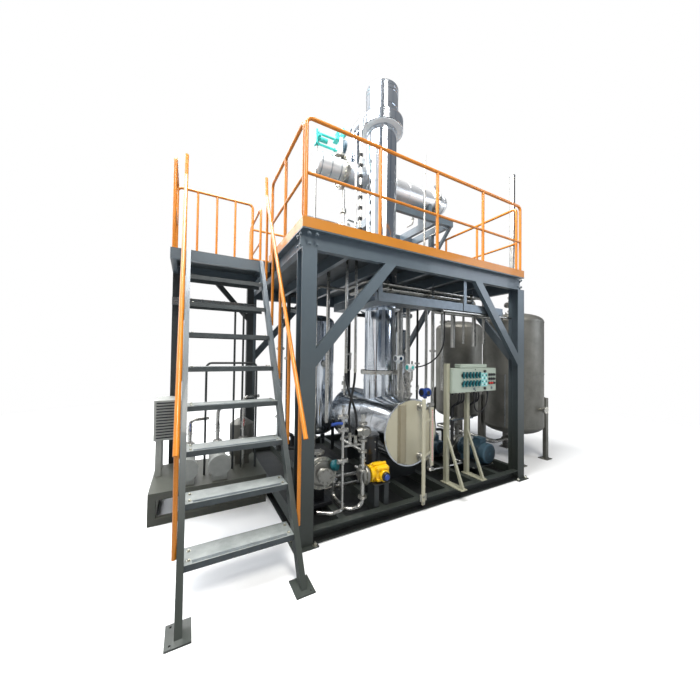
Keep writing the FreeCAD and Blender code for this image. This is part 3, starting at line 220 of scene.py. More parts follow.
# Safety enamel on tube, brushed on by hand: strong orange, a little darker in the second coat.
GUARD_ORANGE = Finish("enamel_orange_brushed", "CC7C18", "B2650F", 0.34, grain_mm=8, grain_depth_mm=0.2,
                      wear="B4602A", wear_part=0.02, coat=0.25)
TOE_ORANGE = Finish("enamel_orange_sheet", "BC781A", "AA6814", 0.42, grain_mm=8, grain_depth_mm=0.2,
                    blotch_mm=400, wear="A5652A", wear_part=0.0, coat=0.15)
# Bright aluminium cladding, cold rolled: mirror-like with fine streaks along the roll.
CLADDING = Finish("aluminium_cladding_rolled", "D6DCE3", "B4BEC9", 0.12, 1.0, Grain.ROLLED_UP, 5, 0.05,
                  blotch_mm=500, roughness_swing=0.07)
CLADDING_ROUND = Finish("aluminium_cladding_wrapped", "CFD2D5", "B2B7BD", 0.15, 1.0, Grain.ROLLED_ROUND, 5,
                        0.05, blotch_mm=400, roughness_swing=0.08)
BRIGHT_SHEET = Finish("aluminium_sheet_satin", "E4E6E8", "CDD1D4", 0.34, 0.8, Grain.ROLLED_ROUND, 5, 0.05,
                      blotch_mm=400, roughness_swing=0.08)
SEAM = Finish("aluminium_seam_folded", "B4BAC1", "8F979F", 0.3, 1.0, grain_mm=4)
# Stainless steel, satin ground on pipes and pumps, and pickled dull on the big tanks.
STAINLESS = Finish("stainless_satin_ground", "C4C3BE", "A3A29C", 0.27, 1.0, Grain.ROLLED_ALONG, 3, 0.05,
                   blotch_mm=120)
PICKLED = Finish("stainless_pickled", "8B8A83", "6C6B65", 0.5, 0.85, Grain.ROLLED_UP, 8, 0.08, blotch_mm=350,
                 blotch=0.8, roughness_swing=0.08)
CAST_STEEL = Finish("stainless_cast_tumbled", "9B9A94", "7C7B76", 0.42, 1.0, grain_mm=2, grain_depth_mm=0.15)
ZINC = Finish("zinc_plated_bolt", "B8B7AC", "98978C", 0.35, 1.0, grain_mm=2)
DUCT_STEEL = Finish("stainless_duct_brushed", "A9ACAB", "85898A", 0.3, 1.0, Grain.ROLLED_ALONG, 4, 0.05)
GALVANISED = Finish("galvanised_sheet_spangled", "737B81", "596167", 0.42, 0.85, grain_mm=14, blotch_mm=60)
ZINC_PALE = Finish("zinc_sheet_passivated", "A9ABA6", "8F928D", 0.48, 0.35, grain_mm=12, blotch_mm=80)
OLIVE_GREY = Finish("enamel_olive_grey_brushed", "55574F", "454740", 0.5, grain_mm=6, grain_depth_mm=0.25,
                    wear="7C7D74", wear_part=0.02)
# Baked cream enamel: smooth and slightly warm.
CREAM = Finish("enamel_cream_baked", "BCB8A2", "AAA58E", 0.38, grain_mm=7, grain_depth_mm=0.12, blotch_mm=500,
               wear="9F9984", wear_part=-0.02, coat=0.2)
POST_CREAM = Finish("enamel_cream_brushed", "A3A28D", "8F8E7A", 0.42, grain_mm=7, grain_depth_mm=0.15,
                    blotch_mm=300, wear="7C7B6B", wear_part=0.0)
# The rib's cream, darker than the panels as painted shade in its folded channel.
RIB_CREAM = Finish("enamel_cream_rib_baked", "9C957F", "8B8470", 0.42, grain_mm=7, grain_depth_mm=0.12,
                   blotch_mm=200)
PANEL_GREEN = Finish("enamel_pale_green_baked", "A3AFA2", "96A295", 0.36, grain_mm=5, grain_depth_mm=0.1,
                     blotch_mm=300, coat=0.25)
TEAL = Finish("enamel_teal_on_casting", "2FAEA6", "3FBBB0", 0.38, grain_mm=3, grain_depth_mm=0.2, coat=0.2)
TEAL_DARK = Finish("abs_teal_moulded", "0F5F66", "0B4A55", 0.32, grain_mm=2, grain_depth_mm=0.03)
YELLOW = Finish("enamel_yellow_on_casting", "F4C404", "E3B106", 0.34, grain_mm=3,
                grain_depth_mm=0.2, coat=0.3)
MOTOR_BLUE = Finish("enamel_blue_grey_on_casting", "3A5362", "486473", 0.42, grain_mm=3, grain_depth_mm=0.25,
                    wear="6E7F88", wear_part=0.0)
DEEP_BLUE = Finish("enamel_deep_blue", "23479A", "1B3A82", 0.33, grain_mm=3, grain_depth_mm=0.15, coat=0.3)
BLACK_ENAMEL = Finish("enamel_black_sprayed", "15171A", "202327", 0.36, grain_mm=4,
                      grain_depth_mm=0.15, coat=0.2)
LAGGING = Finish("lagging_black_foam", "222527", "2F3336", 0.7, grain_mm=4, grain_depth_mm=0.4, blotch_mm=80)
BLACK_PLASTIC = Finish("nylon_black_moulded", "17181A", "26282A", 0.45, grain_mm=1.5, grain_depth_mm=0.05)
RUBBER = Finish("rubber_hose_extruded", "131416", "1E1F21", 0.52, grain_mm=3, grain_depth_mm=0.1)
WHITE_COAT = Finish("powder_coat_white", "E4E8EA", "D2D8DB", 0.4, grain_mm=2, grain_depth_mm=0.12)
RED_PLASTIC = Finish("abs_red_moulded", "C02A22", "A8231D", 0.35, grain_mm=2, grain_depth_mm=0.03)
LENS = Finish("acrylic_lens_tinted", "14324A", "0D2233", 0.08, grain_mm=20, grain_depth_mm=0.0, coat=0.6)
PALE_TEAL = Finish("label_foil_pale_teal", "8CCBC8", "7BBDBB", 0.4, grain_mm=4, grain_depth_mm=0.02)
SHADOW_GAP = Finish("gap_dark", "1C2024", "14171A", 0.7, grain_mm=6)


# --- making meshes -------------------------------------------------------------------------------


def turn_to(axis: Point) -> Matrix:
    """Returns the rotation that takes +Z to the axis."""
    return Vector(axis).normalized().to_track_quat("Z", "Y").to_matrix()


def above(height: float) -> Vector:
    """Returns an upward step of a height."""
    return Vector((0, 0, height))


def ways_round(count: int, axis: str, phase: float = 0.0) -> list[Vector]:
    """Returns unit vectors evenly round an axis.

    Args:
        count: how many.
        axis: x, y or z.
        phase: the first one's place, as a part of the spacing.

    Returns:
        The vectors, square to the axis.
    """
    ways = []
    for i in range(count):
        turn = math.tau * (i + phase) / count
        parts = [math.cos(turn), math.sin(turn)]
        parts.insert("xyz".index(axis), 0.0)
        ways.append(Vector(parts))
    return ways


def rim(radius: float, start: float, end: float, drop: float, run: float) -> list[tuple[float, float]]:
    """Returns the profile of a ring with bevelled edges, drop deep and run long."""
    return [(radius - drop, start), (radius, start + run), (radius, end - run), (radius - drop, end)]


def rounded(points: Sequence[Point], bend: float, steps: int = 6) -> list[Vector]:
    """Rounds the corners of a run of straight lines.

    Args:
        points: the corners.
        bend: the radius, in metres.
        steps: how many lines make each corner.

    Returns:
        The points of the rounded line.
    """
    pts = [Vector(p) for p in points]
    line = [pts[0]]
    for before, corner, after in zip(pts, pts[1:], pts[2:]):
        into, out = (corner - before), (after - corner)
        half = into.angle(out) / 2
        cut = min(bend * math.tan(half), into.length * 0.48, out.length * 0.48)
        a, b = corner - into.normalized() * cut, corner + out.normalized() * cut
        for i in range(steps + 1):
            t = i / steps
            line.append(a.lerp(corner, t).lerp(corner.lerp(b, t), t))
    line.append(pts[-1])
    return line


class Piece:
    """Gathers solids into one mesh object; each solid takes the finish named last."""

    def __init__(self, name: str, finish: Finish) -> None:
        """Starts an empty piece."""
        self.name = name
        self.verts: list[Vector] = []
        self.faces: list[list[int]] = []
        self.face_finish: list[int] = []
        self.finishes: list[Finish] = []
        self.use(finish)

    def use(self, finish: Finish) -> "Piece":
        """Makes the finish the one that the next solids take."""
        if finish not in self.finishes:
            self.finishes.append(finish)
        self.current = self.finishes.index(finish)
        return self

    def add(self, verts: Iterable[Vector], faces: Iterable[Sequence[int]]) -> None:
        """Adds vertices and the faces between them."""
        base = len(self.verts)
        self.verts.extend(verts)
        for face in faces:
            self.faces.append([base + i for i in face])
            self.face_finish.append(self.current)

    def loft(self, rings: Sequence[Sequence[Vector]], capped: bool = True, closed: bool = False) -> None:
        """Skins rings of equal count, with flat caps at both ends unless it is closed on itself."""
        n = len(rings[0])
        faces = []
        spans = len(rings) if closed else len(rings) - 1
        for k in range(spans):
            a, b = k * n, ((k + 1) % len(rings)) * n
            for i in range(n):
                j = (i + 1) % n
                faces.append((a + i, a + j, b + j, b + i))
        if capped and not closed:
            faces.append(tuple(reversed(range(n))))
            faces.append(tuple(range((len(rings) - 1) * n, len(rings) * n)))
        self.add([v for ring in rings for v in ring], faces)

    def lathe(self, profile: Sequence[tuple[float, float]], centre: Point, axis: Point = UP,
              sides: int = 32, capped: bool = True) -> None:
        """Turns a profile of (radius, distance along axis) round an axis through centre."""
        spin, middle = turn_to(axis), Vector(centre)
        rings = []
        for radius, along in profile:
            ring = []
            for i in range(sides):
                a = math.tau * i / sides
                ring.append(middle + spin @ Vector((math.cos(a) * radius, math.sin(a) * radius, along)))
            rings.append(ring)
        self.loft(rings, capped)

    def rod(self, start: Point, end: Point, radius: float, sides: int = 20, edge: float = 0.0) -> None:
        """A round bar from start to end, its rims chamfered by edge."""
        a, b = Vector(start), Vector(end)
        length = (b - a).length
        if edge:
            profile = [(radius - edge, 0), (radius, edge), (radius, length - edge), (radius - edge, length)]
        else:
            profile = [(radius, 0), (radius, length)]
        self.lathe(profile, a, b - a, sides)

    def box(self, low: Point, high: Point, edge: float = 0.0) -> None:
        """A block between two corners, its upright and level edges chamfered by edge."""
        lo, hi = Vector(low), Vector(high)
        e = min(edge, (hi.x - lo.x) / 3, (hi.y - lo.y) / 3, (hi.z - lo.z) / 3)

        def ring(z: float, inset: float) -> list[Vector]:
            x0, x1, y0, y1 = lo.x + inset, hi.x - inset, lo.y + inset, hi.y - inset
            if not edge:
                return [Vector(p) for p in ((x0, y0, z), (x1, y0, z), (x1, y1, z), (x0, y1, z))]
            return [Vector(p) for p in ((x0 + e, y0, z), (x1 - e, y0, z), (x1, y0 + e, z), (x1, y1 - e, z),
                                        (x1 - e, y1, z), (x0 + e, y1, z), (x0, y1 - e, z), (x0, y0 + e, z))]

        if edge:
            self.loft([ring(lo.z, e), ring(lo.z + e, 0), ring(hi.z - e, 0), ring(hi.z, e)])
        else:
            self.loft([ring(lo.z, 0), ring(hi.z, 0)])

    def block(self, start: Point, end: Point, out: Point, wide: float, deep: float) -> None:
        """A straight bar of oblong section from start to end, deep along out and wide across it."""
        a, b = Vector(start), Vector(end)
        way = (b - a).normalized()
        over = Vector(out)
        over = (over - way * over.dot(way)).normalized()
        side = way.cross(over)
        ring = [over * deep / 2 * i + side * wide / 2 * j for i, j in ((1, -1), (1, 1), (-1, 1), (-1, -1))]
        self.loft([[a + r for r in ring], [b + r for r in ring]])

    def pipe(self, points: Sequence[Point], radius: float, bend: float = 0.06, sides: int = 14) -> None:
        """A pipe through points with rounded corners."""
        line = rounded(points, bend)
        rings = []
        normal = None
        for i, p in enumerate(line):
            ahead = line[min(i + 1, len(line) - 1)] - line[max(i - 1, 0)]
            ahead.normalize()
            if normal is None:
                normal = ahead.orthogonal().normalized()
            normal = (normal - ahead * normal.dot(ahead)).normalized()
            side = ahead.cross(normal)
            rings.append([p + (normal * math.cos(a) + side * math.sin(a)) * radius
                          for a in (math.tau * k / sides for k in range(sides))])
        self.loft(rings)

    def bolt(self, foot: Point, axis: Point, size: float = 0.016) -> None:
        """A hexagon head on a washer, size being its width across flats."""
        way, at = Vector(axis).normalized(), Vector(foot)
        self.rod(at, at + way * size * 0.12, size * 0.95, 12)
        head = size * 0.58
        self.lathe([(head, 0), (head, size * 0.45), (head * 0.82, size * 0.55)],
                   at + way * size * 0.12, way, 6)

    def bolt_circle(self, centre: Point, axis: Point, radius: float, count: int, size: float = 0.016) -> None:
        """Bolts evenly round a circle."""
        spin = turn_to(axis)
        for out in ways_round(count, "z", 0.5):
            self.bolt(Vector(centre) + spin @ out * radius, axis, size)

    def flange(self, centre: Point, axis: Point, radius: float, thick: float = 0.022, bolts: int = 8) -> None:
        """A pair of pipe flanges face to face with a gasket line and bolts on both sides."""
        way, mid = Vector(axis).normalized(), Vector(centre)
        for sign in (-1, 1):
            face = mid + way * sign * 0.0015
            self.rod(face, face + way * sign * thick, radius, 28, 0.002)
            if bolts:
                self.bolt_circle(face + way * sign * thick, way * sign, radius * 0.78, bolts, radius * 0.22)

    def handwheel(self, centre: Point, axis: Point, radius: float, spokes: int = 4) -> None:
        """A rimmed wheel with spokes and a hub."""
        spin, mid = turn_to(axis), Vector(centre)
        count, tube = 28, radius * 0.11
        rings = []
        up = spin @ Vector(UP)
        for way in ways_round(count, "z"):
            out = spin @ way
            rings.append([mid + out * radius + (out * math.cos(b) + up * math.sin(b)) * tube
                          for b in (math.tau * k / 8 for k in range(8))])
        self.loft(rings, False, True)
        for way in ways_round(spokes, "z"):
            self.rod(mid, mid + spin @ way * radius, tube * 0.7, 8)
        hub = up * radius * 0.2
        self.rod(mid - hub, mid + hub, radius * 0.2, 12)

    def ball_valve(self, centre: Point, axis: Point, up: Point, size: float, grip: Finish) -> None:
        """A ball valve: barrel, two end flanges, bonnet and a lever in its own finish."""
        way, rise, mid = Vector(axis).normalized(), Vector(up).normalized(), Vector(centre)
        body = self.finishes[self.current]
        self.lathe([(size * 0.5, -size), (size * 0.62, -size * 0.6), (size * 0.8, 0),
                    (size * 0.62, size * 0.6), (size * 0.5, size)], mid, way, 20)
        for sign in (-1, 1):
            at = mid + way * sign * size
            self.rod(at, at + way * sign * size * 0.28, size * 0.95, 20, 0.001)
            self.bolt_circle(at + way * sign * size * 0.28, way * sign, size * 0.74, 4, size * 0.24)
        self.rod(mid, mid + rise * size * 1.15, size * 0.3, 12)
        self.use(grip)
        tip = mid + rise * size * 1.15
        self.pipe([tip, tip + way * size * 0.4 + rise * size * 0.15,
                   tip + way * size * 2.6 + rise * size * 0.3], size * 0.15, size * 0.2, 8)
        self.use(body)

    def make(self, slot: str, *replaced: str) -> bpy.types.Object:
        """Builds the object, dresses it and hangs it on the body.

        Args:
            slot: a material slot's name; it is not used.
            replaced: the CAD nodes that it stands for.

        Returns:
            The finished object.
        """
        mesh = bpy.data.meshes.new(self.name)
        mesh.from_pydata([tuple(v) for v in self.verts], [], self.faces)
        for finish in self.finishes:
            mesh.materials.append(finish.material())
        mesh.polygons.foreach_set("material_index", self.face_finish)
        mesh.polygons.foreach_set("use_smooth", [True] * len(mesh.polygons))
        mesh.validate()
        mesh.update()
        mesh.set_sharp_from_angle(angle=math.radians(34))
        made = bpy.data.objects.new(self.name, mesh)
        bpy.context.scene.collection.objects.link(made)
        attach(made, BODY)
        if replaced:
            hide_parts(*replaced)
        log.info("%s: %d faces", self.name, len(mesh.polygons))
        return made


def dress(node: str, finish: Finish) -> None:
    """Gives a CAD node its finish and smooth shading across its round faces."""
    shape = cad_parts[node]
    shape.data.materials.clear()
    shape.data.materials.append(finish.material())
    shape.data.polygons.foreach_set("use_smooth", [True] * len(shape.data.polygons))
    shape.data.set_sharp_from_angle(angle=math.radians(30))


def middle(node: str) -> Vector:
    """Returns the centre of a CAD node's box."""
    lo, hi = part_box(node)
    return (lo + hi) / 2


def drum_top(x: float) -> float:
    """Returns the height of the drum's upper side at a place along the front."""
    drum = middle("kettle_front_cover")
    return drum.z + math.sqrt(max(DRUM_RADIUS ** 2 - (x - drum.x) ** 2, 0.01))


def tint(node: str, finish: Finish, low: Point, high: Point, up: bool = False) -> None:
    """Gives another finish to the faces of a dressed CAD node whose centres lie between two corners.

    Args:
        node: the CAD node's name.
        finish: the new finish.
        low, high: the corners.
        up: only the faces that look upward.
    """
    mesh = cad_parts[node].data
    mesh.materials.append(finish.material())
    slot = len(mesh.materials) - 1
    for face in mesh.polygons:
        if all(low[i] <= face.center[i] <= high[i] for i in range(3)) and (not up or face.normal.z > 0.9):
            face.material_index = slot


def dished(radius: float, height: float, start: float, way: int, steps: int = 9) -> list[tuple[float, float]]:
    """Returns a dished head's profile from its rim to its crown, as (radius, distance along the axis)."""
    points = []
    for i in range(steps + 1):
        a = math.radians(88.0) * i / steps
        points.append((radius * math.cos(a), start + way * height * math.sin(a)))
    return points


def banded(radius: float, start: float, end: float, seams: Sequence[float], lap: float = 0.018,
           proud: float = 0.004) -> list[tuple[float, float]]:
    """Returns a clad cylinder's profile: sheets of one radius with a raised lap band at every seam."""
    low = radius - proud
    profile = [(low, start)]
    for seam in seams:
        profile += [(low, seam - lap), (radius, seam - lap + 0.002), (radius, seam + lap - 0.002),
                    (low, seam + lap)]
    profile.append((low, end))
    return profile


# --- steelwork -----------------------------------------------------------------------------------


@dataclass
class Steelwork:
    """The frame's own CAD parts in their paints, with the bolts that they need."""

    anchor_reach: float = 0.09
    anchor_size: float = 0.03
    paints: tuple[tuple[Finish, tuple[str, ...]], ...] = (
        (FRAME_PAINT, ("frame_columns", "deck_edge_beams", "knee_braces", "deck_joists", "stair_stringers",
                       "landing_beams", "condenser_stand", "skid_edge_beams", "skid_cross_beams")),
        (LEG_PAINT, ("landing_posts", "kettle_saddles", "vessel_legs", "dosing_stand")),
        (OLIVE_GREY, ("module_frame",)),
        (DECK_PAINT, ("deck_plates", "stair_treads")),
        (GUARD_ORANGE, ("guard_rail_front", "guard_rail_back", "guard_rail_right", "guard_rail_left",
                        "stair_handrails", "landing_rail")),
        (TOE_ORANGE, ("toe_boards",)),
        (POST_CREAM, ("panel_posts",)),
        (PICKLED, ("storage_tank_legs",)),
        (STAINLESS, ("feed_pipes", "process_pipes", "product_cooler", "tank_piping")),
        (CLADDING, ("vapour_pipe",)),
    )

    def build(self) -> None:
        """Dresses the steel and adds its bolts."""
        for finish, nodes in self.paints:
            for node in nodes:
                dress(node, finish)
        # The treads' upward faces take a paler copy of the floor paint: painted top light.
        tint("stair_treads", TREAD_WORN, *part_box("stair_treads"), up=True)
        self.floor_sheets()
        self.anchors()
        self.tread_fittings()
        self.joint_bolts()

    def floor_sheets(self) -> None:
        """Painted shade: dark sheets low between the skid's cross beams, lapped and stitched, with a drain in
        each.
        """
        low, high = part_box("skid_edge_beams")
        piece = Piece("skid_floor_sheets", FLOOR_SHEET)
        count = 7
        step = (high.x - low.x - 0.03) / count
        for k in range(count):
            x = low.x + 0.015 + k * step
            z = low.z + 0.012 + 0.003 * (k % 2)
            piece.use(FLOOR_SHEET).box((x, low.y + 0.012, z), (x + step + 0.02, high.y - 0.012,
                                                               z + 0.004), 0.001)
            piece.rod((x + step / 2, low.y + 0.4, z + 0.003), (x + step / 2, low.y + 0.4, z + 0.007),
                      0.035, 20, 0.001)
            for j in range(9):
                piece.bolt((x + 0.03, low.y + 0.1 + j * 0.3, z + 0.004), UP, 0.014)
        piece.make("frame_paint")

    def anchors(self) -> None:
        """Anchor bolts and nuts on the four base plates."""
        piece = Piece("anchor_bolts", ZINC)
        low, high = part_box("frame_columns")
        inset = 0.12
        for x in (low.x + inset, high.x - inset):
            for y in (low.y + inset, high.y - inset):
                for dx in (-self.anchor_reach, self.anchor_reach):
                    for dy in (-self.anchor_reach, self.anchor_reach):
                        foot = Vector((x + dx, y + dy, low.z + 0.012))
                        piece.bolt(foot, UP, self.anchor_size)
                        piece.rod(foot, foot + above(0.035), 0.008, 10)
        piece.make("galvanised")

    def tread_fittings(self) -> None:
        """A ribbed nosing along each tread and two bolts at each of its ends."""
        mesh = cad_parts["stair_treads"].data
        tops = sorted({round(v.co.z, 3) for v in mesh.vertices})
        low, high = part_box("stair_treads")
        nosing, bolts = Piece("tread_nosings", GALVANISED), Piece("tread_bolts", ZINC)
        for top in tops:
            rim = [v.co for v in mesh.vertices if abs(v.co.z - top) < 0.001]
            front = min(v.y for v in rim)
            depth = max(v.y for v in rim) - front
            if depth < 0.1 or any(0 < other - top < 0.05 for other in tops):
                continue
            for k in range(3):
                y = front + 0.012 + k * 0.012
                nosing.box((low.x + 0.05, y, top - 0.001), (high.x - 0.05, y + 0.005, top + 0.002))
            for x in (low.x + 0.03, high.x - 0.03):
                for y in (front + 0.05, front + depth - 0.05):
                    bolts.bolt((x, y, top), UP, 0.016)
        nosing.make("deck_paint")
        bolts.make("galvanised")

    def joint_bolts(self) -> None:
        """Bolt groups near the ends of the deck edge beams, on all four sides."""
        piece = Piece("frame_bolts", FRAME_PAINT)
        low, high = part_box("deck_edge_beams")
        mid = (low.z + high.z) / 2
        for x in (low.x + 0.11, high.x - 0.11):
            for dz in (-0.05, 0.05):
                for dx in (-0.04, 0.04):
                    piece.bolt((x + dx, low.y + 0.006, mid + dz), FRONT, 0.02)
                    piece.bolt((x + dx, high.y - 0.006, mid + dz), BACK, 0.02)
        for y in (low.y + 0.11, high.y - 0.11):
            for dz in (-0.05, 0.05):
                for dy in (-0.04, 0.04):
                    piece.bolt((low.x + 0.006, y + dy, mid + dz), (-1, 0, 0), 0.02)
                    piece.bolt((high.x - 0.006, y + dy, mid + dz), ALONG, 0.02)
        piece.make("frame_paint")


# --- the drum and the tower ----------------------------------------------------------------------


@dataclass
class Kettle:
    """The heated drum at the foot: clad shell, two-part front cover and dished back head."""

    sheet: float = 0.35
    rivets: int = 40
    rib_offset: float = -0.16
    rib_width: float = 0.115

    def build(self) -> None:
        """Builds the shell, the cover and the back head."""
        cover_low, cover_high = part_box("kettle_front_cover")
        shell_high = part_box("kettle_shell")[1]
        head_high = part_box("kettle_back_head")[1]
        mid = (cover_low + cover_high) / 2
        radius = (cover_high.x - cover_low.x) / 2 - 0.008
        self.shell(Vector((mid.x, cover_high.y, mid.z)), radius, shell_high.y - cover_high.y,
                   head_high.y - shell_high.y)
        self.cover(Vector((mid.x, cover_low.y, mid.z)), radius, cover_high.y - cover_low.y)

    def shell(self, foot: Vector, radius: float, length: float, head: float) -> None:
        """Clad sheets with riveted laps, then the dished head with a seam ring at its rim."""
        piece = Piece("kettle_cladding", CLADDING_ROUND)
        seams = [self.sheet * k for k in range(1, int(length / self.sheet) + 1)]
        axis = Vector(BACK)
        piece.lathe(banded(radius, 0, length, seams), foot, axis, 72)
        for k, seam in enumerate([0.0] + seams):
            for out in ways_round(self.rivets, "y"):
                at = foot + axis * (seam + 0.008) + out * (radius - 0.001)
                piece.use(ZINC).rod(at, at + out * 0.003, 0.004, 6)
            lap = math.radians(-62 + 14 * (k % 2))
            out = Vector((math.sin(lap), 0, math.cos(lap)))
            start = foot + axis * (seam + 0.02) + out * (radius - 0.003)
            end = foot + axis * min(seam + self.sheet - 0.02, length - 0.01) + out * (radius - 0.003)
            piece.use(SEAM).block(start, end, out, 0.03, 0.004)
        piece.use(CLADDING_ROUND).lathe(dished(radius - 0.004, head, length, 1), foot, axis, 72)
        piece.use(SEAM).lathe([(radius - 0.01, length - 0.03), (radius, length - 0.028),
                               (radius, length), (radius - 0.01, length + 0.004)], foot, axis, 72)
        piece.make("cladding", "kettle_shell", "kettle_back_head")

    def cover(self, face: Vector, radius: float, thick: float) -> None:
        """Two cream panels on a backing disc, with the folded rib between them and a bright rim."""
        piece = Piece("kettle_cover", CREAM)
        axis = Vector(BACK)
        piece.lathe([(radius - 0.004, 0.004), (radius - 0.004, thick)], face, axis, 80)
        edge = radius - 0.012
        left, right = self.rib_offset - self.rib_width / 2, self.rib_offset + self.rib_width / 2
        for limit, sign in ((left, -1), (right, 1)):
            lift = math.asin(abs(limit) / edge) * (1 if limit > 0 else -1)
            turns = [lift + (math.pi - 2 * lift) * i / 40 for i in range(41)] if sign > 0 else \
                    [math.pi - lift + (math.pi + 2 * lift) * i / 40 for i in range(41)]
            rim = [Vector((math.sin(a) * edge, 0, math.cos(a) * edge)) for a in turns]
            piece.loft([[face + p + axis * 0.006 for p in rim], [face + p * 0.996 for p in rim]][::-1])
        x = face.x + self.rib_offset
        high = math.sqrt(edge ** 2 - self.rib_offset ** 2) - 0.02
        half, out = self.rib_width / 2, 0.03
        fold = [(-half - 0.012, 0.002), (-half - 0.012, -0.002), (-half + 0.004, -0.002),
                (-half + 0.02, -out), (half - 0.02, -out), (half - 0.004, -0.002), (half + 0.012, -0.002),
                (half + 0.012, 0.002)]
        # The folded rib in the darker cream: painted shade.
        piece.use(RIB_CREAM)
        piece.loft([[Vector((x + a, face.y + b, face.z + z)) for a, b in fold] for z in (-high, high)])
        for z in range(-5, 6):
            for side in (-1, 1):
                at = Vector((x + side * (half + 0.005), face.y - 0.001, face.z + z * high / 5.6))
                piece.use(ZINC).rod(at, at - Vector((0, 0.004, 0)), 0.005, 8)
        piece.use(CLADDING_ROUND).lathe([
            (radius - 0.012, 0.0), (radius + 0.005, -0.002), (radius + 0.008, 0.002), (radius + 0.008, thick),
            (radius - 0.003, thick), (radius - 0.003, 0.004)], face, axis, 80, False)
        for out in ways_round(16, "y", 0.5):
            piece.use(ZINC).bolt(face + out * (radius - 0.02), FRONT, 0.009)
        piece.make("cover_cream", "kettle_front_cover")


